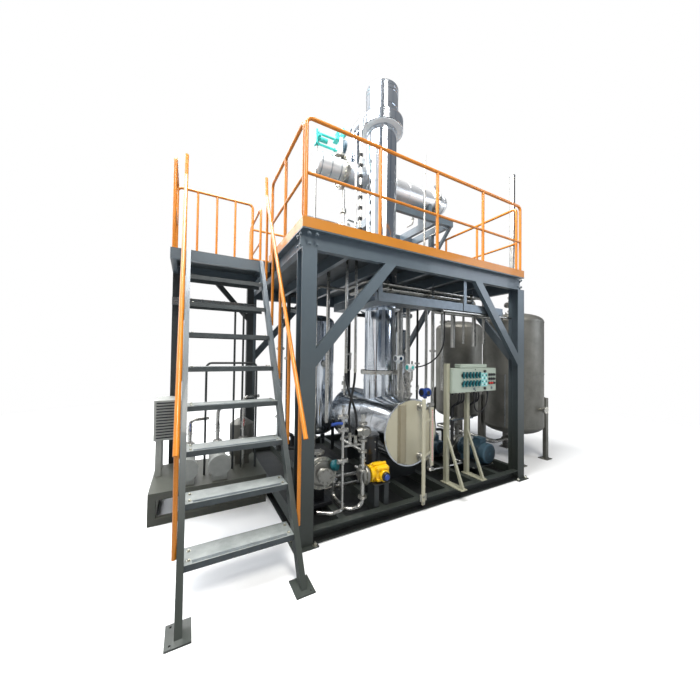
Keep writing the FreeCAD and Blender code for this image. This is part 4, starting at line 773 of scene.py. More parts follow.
@dataclass
class Tower:
    """The distilling column: clad neck, shell, collar, ring head and crown."""

    sheet: float = 0.92
    strip_way: tuple[float, float, float] = (-0.36, -0.93, 0.0)
    strip_width: float = 0.05
    bolts: int = 24

    def build(self) -> None:
        """Builds the lower and the upper cladding and the small pipe that climbs beside it."""
        self.axis = middle("column_shell")
        self.lower()
        self.upper()
        self.pipe_bands()

    def foot(self) -> Vector:
        """Returns the point on the axis at height zero."""
        return Vector((self.axis.x, self.axis.y, 0.0))

    def radius(self, node: str) -> float:
        """Returns half the width of a column node."""
        low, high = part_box(node)
        return (high.x - low.x) / 2

    def strip(self, piece: Piece, radius: float, low: float, high: float) -> None:
        """A bright lap strip up the side of a cylinder."""
        out = Vector(self.strip_way).normalized()
        for turn in (0.0, math.pi * 0.93):
            way = Matrix.Rotation(turn, 3, "Z") @ out
            foot = self.foot() + way * (radius - 0.003)
            piece.use(SEAM).block(foot + above(low), foot + above(high), way,
                                  self.strip_width, 0.008)
        piece.use(CLADDING)

    def lower(self) -> None:
        """The neck on the drum, its bolted flanges, and the shell with its collar at deck level."""
        neck_low, neck_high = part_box("column_neck")
        low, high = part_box("column_shell")
        collar_low, collar_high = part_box("column_collar")
        ring, shell = self.radius("column_neck"), self.radius("column_shell")
        collar = self.radius("column_collar")
        neck = ring - 0.04
        piece = Piece("tower_lower", CLADDING)
        flange = neck_high.z - 0.036
        piece.lathe(banded(neck, neck_low.z, flange - 0.004, [neck_low.z + 0.06, flange - 0.12]), self.foot(),
                    sides=64)
        piece.use(STAINLESS)
        for z in (flange, neck_high.z - 0.016):
            piece.lathe(rim(ring, z - 0.014, z + 0.014, 0.002, 0.002), self.foot() + above(0.004), sides=64)
        piece.use(SHADOW_GAP).lathe([(ring - 0.05, flange - 0.006), (ring - 0.05, neck_high.z + 0.01)],
                                    self.foot(), sides=48)
        piece.use(ZINC)
        for out in ways_round(self.bolts, "z"):
            at = self.foot() + out * (ring - 0.018)
            piece.bolt(at + above(neck_high.z - 0.002), UP, 0.018)
            piece.bolt(at + above(flange - 0.01), (0, 0, -1), 0.018)
        piece.use(CLADDING)
        seams = [low.z + 0.05]
        while seams[-1] + self.sheet < high.z:
            seams.append(seams[-1] + self.sheet)
        piece.lathe(banded(shell, low.z, high.z, seams + [high.z - 0.022]), self.foot(), sides=72)
        base, waist = collar_low.z, collar - 0.004
        piece.lathe([(shell, base), (waist, base + 0.03), (waist, base + 0.05), (collar, base + 0.052),
                     (collar, base + 0.08), (waist, base + 0.082), (waist, collar_high.z - 0.03),
                     (shell, collar_high.z)], self.foot(), sides=72)
        self.strip(piece, shell, low.z + 0.05, collar_low.z + 0.01)
        self.strip(piece, shell, collar_high.z - 0.01, high.z)
        self.strip(piece, neck, neck_low.z + 0.06, flange - 0.02)
        piece.make("cladding", "column_neck", "column_shell", "column_collar")

    def upper(self) -> None:
        """The ring head with its white underside, the crown in two sheets, and the lid."""
        low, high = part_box("column_head")
        crown_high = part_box("column_crown")[1]
        lid_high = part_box("column_lid")[1]
        ring, crown = self.radius("column_head"), self.radius("column_crown")
        shell, lid = self.radius("column_shell"), self.radius("column_lid")
        piece = Piece("tower_upper", CLADDING)
        cone = high.z - 0.06
        piece.lathe([(ring - 0.012, low.z + 0.004), (ring, low.z + 0.012), (ring, low.z + 0.03),
                     (ring - 0.003, low.z + 0.032), (ring - 0.003, cone - 0.012), (ring, cone - 0.01),
                     (ring, cone), (crown - 0.004, high.z)], self.foot(), sides=72)
        piece.use(WHITE_COAT).lathe([(shell, low.z), (ring - 0.012, low.z), (ring - 0.012, low.z + 0.006),
                                     (shell, low.z + 0.006)], self.foot(), sides=72)
        piece.use(CLADDING)
        piece.lathe(banded(crown, high.z, crown_high.z, [high.z + 0.11, high.z + 0.33, crown_high.z - 0.02]),
                    self.foot(), sides=72)
        piece.lathe([(lid, crown_high.z), (lid, lid_high.z - 0.006), (lid - 0.01, lid_high.z)],
                    self.foot(), sides=72)
        self.strip(piece, ring, low.z + 0.012, cone)
        self.strip(piece, crown, high.z + 0.01, crown_high.z)
        piece.make("cladding", "column_head", "column_crown", "column_lid")

    def pipe_bands(self) -> None:
        """Lap bands round the mitred vapour pipe, and dark clips up the small pipe beside the tower."""
        piece = Piece("vapour_bands", SEAM)
        low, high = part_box("vapour_pipe")
        drop_x, drop_y, radius = low.x + 0.076, high.y - 0.076, 0.077
        for k in range(4):
            z = low.z + 0.1 + k * 0.17
            piece.lathe(rim(radius + 0.002, -0.012, 0.012, 0.002, 0.002), (drop_x, drop_y, z), UP, 32)
        piece.make("cladding")
        clips = Piece("pipe_clips", BLACK_PLASTIC)
        riser = Vector((self.axis.x - 0.35, self.axis.y + 0.04, 0))
        for k in range(9):
            z = high.z - 2.25 + k * 0.16
            clips.box(riser + Vector((-0.026, -0.026, z)), riser + Vector((0.026, 0.026, z + 0.05)), 0.003)
        clips.make("filter_black")


@dataclass
class Condenser:
    """The horizontal condenser on its stand: clad barrel, bolted girth flanges and dished bonnets."""

    flange_thick: float = 0.034
    bolts: int = 20
    band: float = 0.3

    def build(self) -> None:
        """Builds the barrel and both ends."""
        low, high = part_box("condenser_shell")
        end_low, end_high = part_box("condenser_heads")
        radius = (high.y - low.y) / 2
        ring = (end_high.y - end_low.y) / 2
        mid = Vector((0, (low.y + high.y) / 2, (low.z + high.z) / 2))
        piece = Piece("condenser_body", BRIGHT_SHEET)
        axis = Vector(ALONG)
        seams = [low.x + 0.05 + self.band * k for k in range(int((high.x - low.x) / self.band))]
        piece.lathe(banded(radius, low.x, high.x, seams, 0.012, 0.003), mid, axis, 56)
        for end, outer, way in ((low.x, end_low.x, -1), (high.x, end_high.x, 1)):
            piece.use(STAINLESS)
            for k in range(2):
                a = end + way * (self.flange_thick * k + 0.001)
                b = end + way * (self.flange_thick * (k + 1) - 0.002)
                piece.lathe(rim(ring, min(a, b), max(a, b), 0.003, 0.003), mid, axis, 56)
            face = end + way * 2 * self.flange_thick
            barrel = [(radius - 0.01, face - way * 0.004), (radius - 0.01, outer - way * 0.07)]
            shape = barrel + dished(radius - 0.01, 0.07, outer - way * 0.07, way)
            piece.use(BRIGHT_SHEET).lathe(shape if way > 0 else shape[::-1], mid, axis, 56)
            piece.use(ZINC)
            for out in ways_round(self.bolts, "x", 0.5):
                at = mid + out * (ring - 0.026)
                piece.bolt(at + axis * face, axis * way, 0.02)
                piece.bolt(at + axis * end, axis * -way, 0.02)
            piece.use(SEAM)
            for k in (0.06, 0.15) if way > 0 else (0.06, 0.22, 0.38):
                piece.lathe(rim(radius - 0.006, -0.01, 0.01, 0.005, 0.002),
                            mid + axis * (face + way * k), axis, 56)
        piece.make("cladding", "condenser_shell", "condenser_heads")
        self.fittings(mid, radius, high.x, low.x)

    def fittings(self, mid: Vector, radius: float, right: float, left: float) -> None:
        """The vent valve on the right bonnet, drain valves under the right end, and a thermometer."""
        piece = Piece("condenser_fittings", STAINLESS)
        top = mid + Vector((right + 0.17, 0, radius - 0.012))
        piece.rod(top, top + above(0.1), 0.016, 14)
        piece.flange(top + above(0.05), UP, 0.042, 0.012, 4)
        piece.use(BLACK_ENAMEL).lathe([(0.02, 0.1), (0.032, 0.115), (0.032, 0.15), (0.016, 0.17)],
                                      top, sides=16)
        piece.handwheel(top + above(0.2), UP, 0.04)
        piece.rod(top + above(0.16), top + above(0.23), 0.006, 8)
        piece.use(STAINLESS)
        for k, x in enumerate((right - 0.12, right + 0.17, right - 0.42)):
            foot = mid + Vector((x, 0, -radius + 0.004))
            drop = 0.16 + 0.05 * (k % 2)
            piece.rod(foot, foot - above(drop), 0.018, 14)
            piece.ball_valve(foot - above(drop + 0.03), UP, FRONT, 0.03, BLACK_PLASTIC)
            piece.pipe([foot - above(drop + 0.06), foot - above(drop + 0.15),
                        foot + Vector((0, 0.16, -drop - 0.15))], 0.014, 0.05, 12)
        dial = mid + Vector((left + 0.35, 0, radius))
        piece.rod(dial - above(0.01), dial + above(0.09), 0.012)
        piece.use(WHITE_COAT).lathe(rim(0.05, -0.02, 0.02, 0.005, 0.004), dial + above(0.12), BACK, 24)
        piece.make("stainless")


# --- tanks and vessels ---------------------------------------------------------------------------


@dataclass
class StorageTanks:
    """The two tall tanks beside the skid: pickled shells, weld bands, pads, nozzles and outlet valves."""

    radius: float = 0.5
    leg_reach: float = 0.53

    def build(self) -> None:
        """Builds both tanks, then the valves on their pipes."""
        low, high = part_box("storage_tank_shells")
        end_low, end_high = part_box("storage_tank_ends")
        leg_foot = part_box("storage_tank_legs")[0].z
        radius = self.radius
        centres = ((low.x + radius, low.y + radius), (high.x - radius, high.y - radius))
        piece = Piece("storage_tanks", PICKLED)
        for cx, cy in centres:
            foot = Vector((cx, cy, 0))
            rise = high.z - low.z
            profile = dished(radius - 0.004, low.z - end_low.z, low.z, -1)[::-1]
            for k in range(3):
                z = low.z + rise * k / 2
                profile += rim(radius, z - 0.0115, z + 0.0115, 0.004, 0.0015)
            profile += dished(radius - 0.004, end_high.z - high.z, high.z + 0.013, 1)
            piece.use(PICKLED).lathe(profile, foot, sides=80)
            for k, turn in enumerate((200, 75)):
                out = Vector((math.cos(math.radians(turn)), math.sin(math.radians(turn)), 0))
                weld = foot + out * (radius - 0.003) + above(low.z + rise * k / 2)
                piece.use(SEAM).block(weld + above(0.01), weld + above(rise / 2 - 0.01), out, 0.012, 0.005)
            for out in ways_round(4, "z", 0.5):
                at = foot + out * (radius - 0.002)
                piece.use(PICKLED).block(at + above(low.z + 0.02), at + above(low.z + 0.5), out, 0.2, 0.012)
                plate = foot + out * self.leg_reach + above(leg_foot + 0.012)
                side = Vector((-out.y, out.x, 0))
                for s in (-0.055, 0.055):
                    piece.use(ZINC).bolt(plate + side * s + out * s, UP, 0.024)
            piece.use(STAINLESS)
            side = foot + Vector((0, -radius + 0.01, low.z + 0.32))
            piece.rod(side, side + Vector((0, -0.09, 0)), 0.03, 18)
            piece.flange(side + Vector((0, -0.09, 0)), BACK, 0.062, 0.016, 4)
            manhole = foot + Vector((-0.18, 0.18, high.z + 0.05))
            piece.lathe([(0.13, 0), (0.13, 0.1), (0.16, 0.1), (0.16, 0.145), (0.12, 0.15)], manhole, sides=32)
            piece.use(ZINC).bolt_circle(manhole + above(0.145), UP, 0.145, 10, 0.02)
        piece.make("tank_stainless", "storage_tank_shells", "storage_tank_ends")
        self.valves(centres)

    def valves(self, centres: Sequence[tuple[float, float]]) -> None:
        """The vent's valve pair and flanges, and a ball valve at each outlet."""
        piece = Piece("tank_valves", STAINLESS)
        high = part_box("tank_piping")[1]
        cx, cy = centres[0]
        for z in (2.9, 3.12):
            piece.flange((cx, cy, z), UP, 0.075, 0.014, 4)
        for way in (-1, 1):
            grip = DEEP_BLUE if way > 0 else BLACK_ENAMEL
            piece.ball_valve((cx + way * 0.1, cy, 2.75), ALONG, UP, 0.04, grip)
        piece.use(SEAM).lathe(rim(0.05, 0, 0.02, 0.003, 0.003), (cx, cy, high.z - 0.03), sides=24)
        piece.make("stainless")


@dataclass
class StandingVessels:
    """The receiver and the surge vessel at the back: clad barrels with dished ends and nozzles."""

    def build(self) -> None:
        """Builds both vessels."""
        piece = Piece("standing_vessels", CLADDING)
        ends_low, ends_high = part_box("vessel_ends")
        shells_low, shells_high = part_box("vessel_shells")
        for cx, cy, radius, low, high in (
                (shells_low.x + 0.29, 2.25, 0.29, shells_low.z, shells_high.z),
                (shells_high.x - 0.19, 2.35, 0.19, 1.1, 2.3)):
            foot = Vector((cx, cy, 0))
            seams = [low + 0.04, (low + high) / 2, high - 0.04]
            large = radius > 0.2
            top = dished(radius - 0.004, ends_high.z - shells_high.z if large else 0.07, high, 1)
            bottom = dished(radius - 0.004, shells_low.z - ends_low.z if large else 0.07, low, -1)[::-1]
            piece.use(CLADDING).lathe(bottom + banded(radius, low, high, seams) + top, foot, sides=56)
            lap = foot + Vector((-radius + 0.002, -0.02, 0))
            piece.use(SEAM).block(lap + above(low), lap + above(high), (-1, 0, 0), 0.03, 0.006)
            piece.use(STAINLESS)
            nozzle = foot + Vector((0.0, -radius + 0.01, (low + high) / 2 + 0.2))
            piece.rod(nozzle, nozzle + Vector((0, -0.07, 0)), 0.028, 16)
            piece.flange(nozzle + Vector((0, -0.07, 0)), BACK, 0.058, 0.014, 4)
        piece.make("cladding", "vessel_shells", "vessel_ends")


# --- gauges, switches and instruments ------------------------------------------------------------


@dataclass
class LevelGauge:
    """The drum's glass gauge with its flanged arms and flap scale, and the flat post beside it."""

    tube: float = 0.017
    flaps: int = 46
    post_half: float = 0.022

    def build(self) -> None:
        """Builds the gauge and the post."""
        low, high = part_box("level_gauge")
        cover_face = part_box("kettle_front_cover")[0].y
        drum = middle("kettle_front_cover")
        x, y = high.x - 0.048, 0.07
        bottom, top = drum.z - 0.32, drum.z + 0.32
        piece = Piece("level_gauge_body", STAINLESS)
        piece.rod((x, y, bottom - 0.085), (x, y, top + 0.055), self.tube, 20)
        for z in (bottom, top):
            piece.lathe(rim(0.03, -0.045, 0.045, 0.008, 0.01), (x, y, z), sides=20)
            piece.rod((x, y, z), (x, cover_face + 0.008, z), 0.017, 16)
            piece.flange((x, cover_face - 0.012, z), BACK, 0.048, 0.01, 4)
            piece.flange((x, (y + cover_face) / 2 + 0.03, z), BACK, 0.042, 0.012, 4)
            piece.handwheel((x - 0.05, y + 0.05, z), ALONG, 0.026)
            piece.rod((x - 0.055, y + 0.05, z), (x, y + 0.05, z), 0.006, 8)
        piece.flange((x, y, bottom - 0.096), UP, 0.044, 0.011, 4)
        piece.flange((x, y, top + 0.066), UP, 0.044, 0.011, 4)
        piece.use(CREAM).box((x - 0.022, y - 0.032, bottom - 0.05), (x + 0.022, y - 0.018, top + 0.03), 0.002)
        step = (top - bottom) / self.flaps
        for i in range(self.flaps):
            z = bottom + step * i
            piece.use(RED_PLASTIC if i % 2 else WHITE_COAT)
            piece.box((x - 0.009, y - 0.0345, z + step * 0.1), (x + 0.009, y - 0.031, z + step * 0.9))
        post_x = low.x + self.post_half
        piece.use(CREAM).box((low.x, low.y, low.z), (low.x + self.post_half * 2, low.y + 0.022, 1.29), 0.003)
        for z in (bottom + 0.12, top - 0.12):
            piece.block((post_x, low.y + 0.018, z), (x, y - 0.01, z), FRONT, 0.03, 0.006)
        for z in (0.1, 0.17):
            piece.use(ZINC).bolt((post_x, low.y + 0.001, z), FRONT, 0.018)
        piece.box((post_x - 0.05, low.y + 0.006, 0.12), (post_x + 0.05, low.y + 0.02, 0.2), 0.002)
        piece.make("cover_cream", "level_gauge")


@dataclass
class SwitchPanel:
    """The pale enamelled switch box: lid, rotary switches, push buttons, blank tags, screws and glands."""

    gland_places: tuple[float, ...] = (0.07, 0.5, 0.79)
    selector_places: tuple[float, ...] = (0.2, 0.265, 0.33, 0.395, 0.46, 0.525)
    button_places: tuple[float, ...] = (0.745, 0.795, 0.845)

    def build(self) -> None:
        """Builds the box and all that is fixed to it."""
        low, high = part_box("control_panel")
        gland_drop = 0.034
        base = Vector((low.x, low.y, low.z + gland_drop))
        top = high.z - 0.055
        piece = Piece("switch_panel", PANEL_GREEN)
        piece.box((low.x, low.y + 0.014, base.z), (high.x, high.y, top), 0.006)
        for finish, inset, front, back, edge in ((SHADOW_GAP, 0.007, 0.011, 0.016, 0.0),
                                                 (PANEL_GREEN, 0.002, 0.002, 0.012, 0.004)):
            piece.use(finish).box((low.x + inset, low.y + front, base.z + inset),
                                  (high.x - inset, low.y + back, top - inset), edge)
        piece.box((low.x + 0.17, low.y + 0.012, top + 0.002), (high.x - 0.19, high.y - 0.012, high.z), 0.006)
        face = low.y + 0.002
        width = high.x - low.x
        for dx in (0.03, width / 2, width - 0.03):
            for z in (base.z + 0.022, top - 0.022):
                piece.use(BLACK_PLASTIC if dx == width / 2 else ZINC)
                piece.rod((low.x + dx, face, z), (low.x + dx, face - 0.004, z), 0.009, 12, 0.001)
        self.switches(piece, low.x, face, base.z)
        for at in self.gland_places:
            neck = (low.x + at, low.y + 0.06, base.z)
            piece.use(BLACK_PLASTIC).lathe([(0.012, -0.034), (0.014, -0.03), (0.014, -0.014)], neck, sides=16)
            piece.lathe([(0.015, -0.014), (0.015, 0.0)], neck, sides=6)
        for k in range(9):
            neck = (low.x + 0.2 + k * 0.062, high.y - 0.045, base.z - 0.02)
            piece.use(ZINC).lathe([(0.012, 0), (0.012, 0.016), (0.009, 0.02)], neck, sides=12)
        piece.make("panel_enamel", "control_panel")

    def switches(self, piece: Piece, left: float, face: float, low: float) -> None:
        """The rotary switches, the blank label block, the push buttons and the two oval tags."""
        for at in self.selector_places:
            x = left + at
            for z, tilt in ((low + 0.235, 0.0), (low + 0.12, 0.35)):
                piece.use(BLACK_ENAMEL).rod((x, face, z), (x, face - 0.01, z), 0.027, 20, 0.002)
                lean = Vector((math.sin(tilt), 0, math.cos(tilt))) * 0.044
                mid = Vector((x, face - 0.02, z))
                piece.use(TEAL_DARK).block(mid - lean, mid + lean, FRONT, 0.015, 0.024)
        piece.use(PALE_TEAL)
        piece.box((left + 0.575, face - 0.004, low + 0.07), (left + 0.705, face + 0.001, low + 0.26), 0.002)
        for z in (low + 0.285, low + 0.045):
            piece.use(BLACK_ENAMEL).rod((left + 0.64, face, z), (left + 0.64, face - 0.024, z),
                                        0.019, 18, 0.003)
        for row in range(4):
            for col in range(3):
                x, z = left + 0.6 + col * 0.04, low + 0.1 + row * 0.043
                piece.use(TEAL_DARK if (row + col) % 2 else WHITE_COAT)
                piece.rod((x, face - 0.002, z), (x, face - 0.009, z), 0.011, 14, 0.002)
        for k, at in enumerate(self.button_places):
            for row in range(3):
                finish = RED_PLASTIC if row == 0 and k < 2 else BLACK_ENAMEL
                z = low + 0.115 + row * 0.06
                piece.use(BLACK_ENAMEL).rod((left + at, face, z), (left + at, face - 0.008, z),
                                            0.02, 18, 0.002)
                piece.use(finish).lathe([(0.014, 0.006), (0.017, 0.012), (0.016, 0.022), (0.01, 0.026)],
                                        (left + at, face, z), FRONT, 18)
        for x in (left + 0.43, left + 0.8):
            piece.use(GALVANISED).lathe([(0.02, 0), (0.02, 0.003)], (x, face, low + 0.045), FRONT, 20)


@dataclass
class Transmitters:
    """The field instruments on the drum: white, white with a teal face, and a deep blue one."""

    heads: tuple[tuple[float, float, float, float, float], ...] = (
        (1.56, 0.56, 1.76, 0.048, 0.11), (1.70, 0.48, 1.64, 0.046, 0.11), (1.93, 0.43, 1.29, 0.062, 0.13))
    coats: tuple[Finish, ...] = (WHITE_COAT, WHITE_COAT, DEEP_BLUE)
    faces: tuple[Finish, ...] = (LENS, TEAL, BLACK_ENAMEL)

    def build(self) -> None:
        """Builds the three heads on their stems."""
        for k, (x, y, z, r, length) in enumerate(self.heads):
            piece = Piece(f"transmitter_{k + 1}", STAINLESS)
            foot = drum_top(x) - 0.006
            piece.rod((x, y, foot), (x, y, z - r * 0.6), 0.009, 14)
            piece.flange((x, y, foot + 0.07), UP, 0.034, 0.009, 4)
            piece.lathe([(0.013, 0), (0.013, 0.03)], (x, y, (foot + z) / 2), sides=6)
            piece.use(self.coats[k])
            half = length / 2
            piece.lathe([(r - 0.004, -half), (r, -half + 0.005), (r, -half + 0.022),
                         (r - 0.005, -half + 0.026), (r - 0.005, half - 0.026), (r, half - 0.022),
                         (r, half - 0.005), (r - 0.004, half)], (x, y, z), ALONG, 32)
            piece.lathe([(r * 0.42, -r - 0.02), (r * 0.45, -r), (r * 0.45, 0)], (x, y, z), sides=16)
            piece.rod((x, y, z), (x, y - r - 0.008, z), r * 0.62, 24, 0.003)
            piece.use(self.faces[k]).rod((x, y - r - 0.007, z), (x, y - r - 0.013, z), r * 0.5, 24, 0.002)
            piece.rod((x - half - 0.001, y, z), (x - half + 0.004, y, z), r * 0.72, 24)
            piece.use(BLACK_PLASTIC).lathe([(0.015, 0), (0.015, 0.012), (0.011, 0.018)],
                                           (x + half, y, z), ALONG, 12)
            piece.make("instrument_white", *(("transmitters",) if k == 0 else ()))


# --- pumps, drive and motors ---------------------------------------------------------------------


@dataclass
class FeedPump:
    """The flanged pump at the front left: bolted girth ring, domed casing, teal coupling guard and motor."""

    bolts: int = 20

    def build(self) -> None:
        """Builds the pump, its motor and its bed."""
        low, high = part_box("feed_pump")
        x, z = (low.x + high.x) / 2, 0.52
        face = low.y + 0.108
        axis = Vector(BACK)
        mid = Vector((x, face, z))
        piece = Piece("feed_pump_body", CAST_STEEL)
        ring = (high.x - low.x) / 2
        for start, end in ((0.0, 0.016), (0.018, 0.034)):
            piece.lathe(rim(ring, start, end, 0.002, 0.002), mid, axis, 56)
        piece.lathe([(0.1, -0.024), (0.128, -0.014), (0.134, 0.002)], mid, axis, 44)
        piece.lathe([(0.055, -0.108), (0.055, -0.05), (0.07, -0.024)], mid, axis, 32)
        piece.flange(mid + axis * -0.094, axis, 0.086, 0.011, 8)
        piece.lathe([(ring - 0.042, 0.034), (ring - 0.042, 0.15), (ring - 0.06, 0.188)], mid, axis, 44)
        piece.use(ZINC)
        for out in ways_round(self.bolts, "y", 0.5):
            at = mid + out * (ring - 0.018)
            piece.bolt(at, FRONT, 0.018)
            piece.bolt(at + axis * 0.034, axis, 0.018)
        piece.use(TEAL_DARK).lathe([(0.05, 0.0), (0.056, 0.01), (0.056, 0.05), (0.045, 0.06)],
                                   mid + Vector((0.11, -0.03, 0.075)), (0.6, -0.75, 0.25), 24)
        self.motor(piece, mid + axis * 0.19, ring - 0.062, 0.42)
        piece.use(CAST_STEEL)
        stub = mid + axis * 0.1
        piece.rod(stub, stub + above(0.21), 0.028, 18)
        piece.flange(stub + above(0.2), UP, 0.064, 0.011, 4)
        piece.use(BLACK_ENAMEL).box((x - 0.15, face + 0.04, low.z), (x + 0.15, high.y, low.z + 0.04), 0.004)
        for y in (face + 0.12, face + 0.42):
            piece.box((x - 0.085, y, low.z + 0.04), (x + 0.085, y + 0.06, z - 0.1), 0.004)
        piece.make("motor_blue", "feed_pump")

    def motor(self, piece: Piece, foot: Vector, radius: float, length: float) -> None:
        """A finned motor lying along Y from its drive end."""
        axis = Vector(BACK)
        core = radius - 0.012
        piece.use(BLACK_ENAMEL)
        piece.lathe([(core, 0), (core, length - 0.08)], foot, axis, 32)
        for out in ways_round(36, "y"):
            at = foot + out * (core + 0.005)
            piece.block(at + axis * 0.03, at + axis * (length - 0.1), out, 0.004, 0.014)
        for k in (0.0, length - 0.1):
            piece.lathe(rim(radius, k, k + 0.024, 0.008, 0.004), foot, axis, 36)
        piece.lathe([(radius, length - 0.078), (radius, length - 0.02), (radius - 0.03, length)],
                    foot, axis, 36)


@dataclass
class Motors:
    """The two circulation pumps at the front right: finned motors, fan cowls, terminal boxes and casings."""

    places: tuple[tuple[float, float, float, float, float], ...] = (
        (3.04, 0.215, 0.33, 0.15, 0.5), (2.70, 0.86, 0.30, 0.105, 0.38))
    fins: int = 40

    def build(self) -> None:
        """Builds both sets on their bed plates."""
        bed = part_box("circulation_pumps")[0].z
        piece = Piece("circulation_sets", MOTOR_BLUE)
        for x, y, z, r, length in self.places:
            self.motor(piece, Vector((x, y, z)), r, length, bed)
            self.pump(piece, Vector((x, y + length, z)), r, bed)
            piece.use(LEG_PAINT).box((x - 0.31, y + 0.04, bed),
                                     (x + 0.16, y + length + 0.18, bed + 0.01), 0.002)
            for dx in (-0.29, 0.14):
                for dy in (0.06, length + 0.15):
                    piece.use(ZINC).bolt((x + dx, y + dy, bed + 0.01), UP, 0.018)
        piece.make("motor_blue", "circulation_pumps")

    def motor(self, piece: Piece, foot: Vector, r: float, length: float, bed: float) -> None:
        """One motor: finned frame, end shields, fan cowl with its grille, feet and terminal box."""
        axis = Vector(BACK)
        piece.use(MOTOR_BLUE)
        core = r - 0.014
        piece.lathe([(r - 0.03, 0.0), (r - 0.004, 0.014), (r, 0.03), (r, 0.085), (core, 0.087)],
                    foot, axis, 40)
        for k in range(4):
            ring = r * (0.25 + 0.17 * k)
            piece.use(BLACK_ENAMEL).lathe([(ring - 0.006, -0.001), (ring + 0.004, -0.001),
                                           (ring + 0.004, 0.004), (ring - 0.006, 0.004)], foot,
                                          axis, 32, False)
        piece.use(MOTOR_BLUE)
        piece.lathe([(core, 0.085), (core, length - 0.02)], foot, axis, 40)
        for out in ways_round(self.fins, "y"):
            at = foot + out * (core + 0.006)
            piece.block(at + axis * 0.1, at + axis * (length - 0.05), out, 0.0045, 0.015)
        piece.lathe([(r, length - 0.045), (r + 0.001, length - 0.03), (r - 0.01, length - 0.004),
                     (r * 0.5, length)], foot, axis, 40)
        for dy in (0.11, length - 0.11):
            piece.box(foot + Vector((-r * 0.82, dy, bed - foot.z + 0.01)),
                      foot + Vector((r * 0.82, dy + 0.05, -r * 0.6)), 0.004)
        box_low = foot + Vector((-0.062, 0.11, r * 0.82))
        piece.box(box_low, foot + Vector((0.062, 0.25, r + 0.044)), 0.005)
        piece.box(foot + Vector((-0.066, 0.106, r + 0.046)), foot + Vector((0.066, 0.254, r + 0.06)), 0.004)
        gland = foot + Vector((0.062, 0.18, r + 0.01))
        piece.use(BLACK_PLASTIC).rod(gland, gland + Vector((0.033, 0, 0)), 0.014, 12)
        eye = foot + Vector((0, length * 0.8, r + 0.012))
        piece.use(ZINC).lathe([(0.016, -0.004), (0.02, 0), (0.016, 0.004)], eye, ALONG, 14)

    def pump(self, piece: Piece, foot: Vector, r: float, bed: float) -> None:
        """One pump: lantern, volute, bolts and discharge flange."""
        axis = Vector(BACK)
        piece.use(CAST_STEEL)
        piece.lathe([(r * 0.55, -0.01), (r * 0.5, 0.03), (r * 0.8, 0.062)], foot, axis, 28)
        piece.lathe([(r * 0.98, 0.062), (r * 1.04, 0.07), (r * 1.04, 0.1), (r * 0.95, 0.15),
                     (r * 0.6, 0.188)], foot, axis, 40)
        piece.use(ZINC).bolt_circle(foot + axis * 0.062, FRONT, r * 0.92, 10, 0.014)
        piece.use(CAST_STEEL)
        up = foot + axis * 0.125
        piece.rod(up, up + above(r + 0.14), 0.032, 18)
        piece.flange(up + above(r + 0.13), UP, 0.06, 0.01, 4)
        piece.box(foot + Vector((-0.055, 0.085, bed - foot.z + 0.01)),
                  foot + Vector((0.055, 0.165, -r * 0.5)), 0.004)


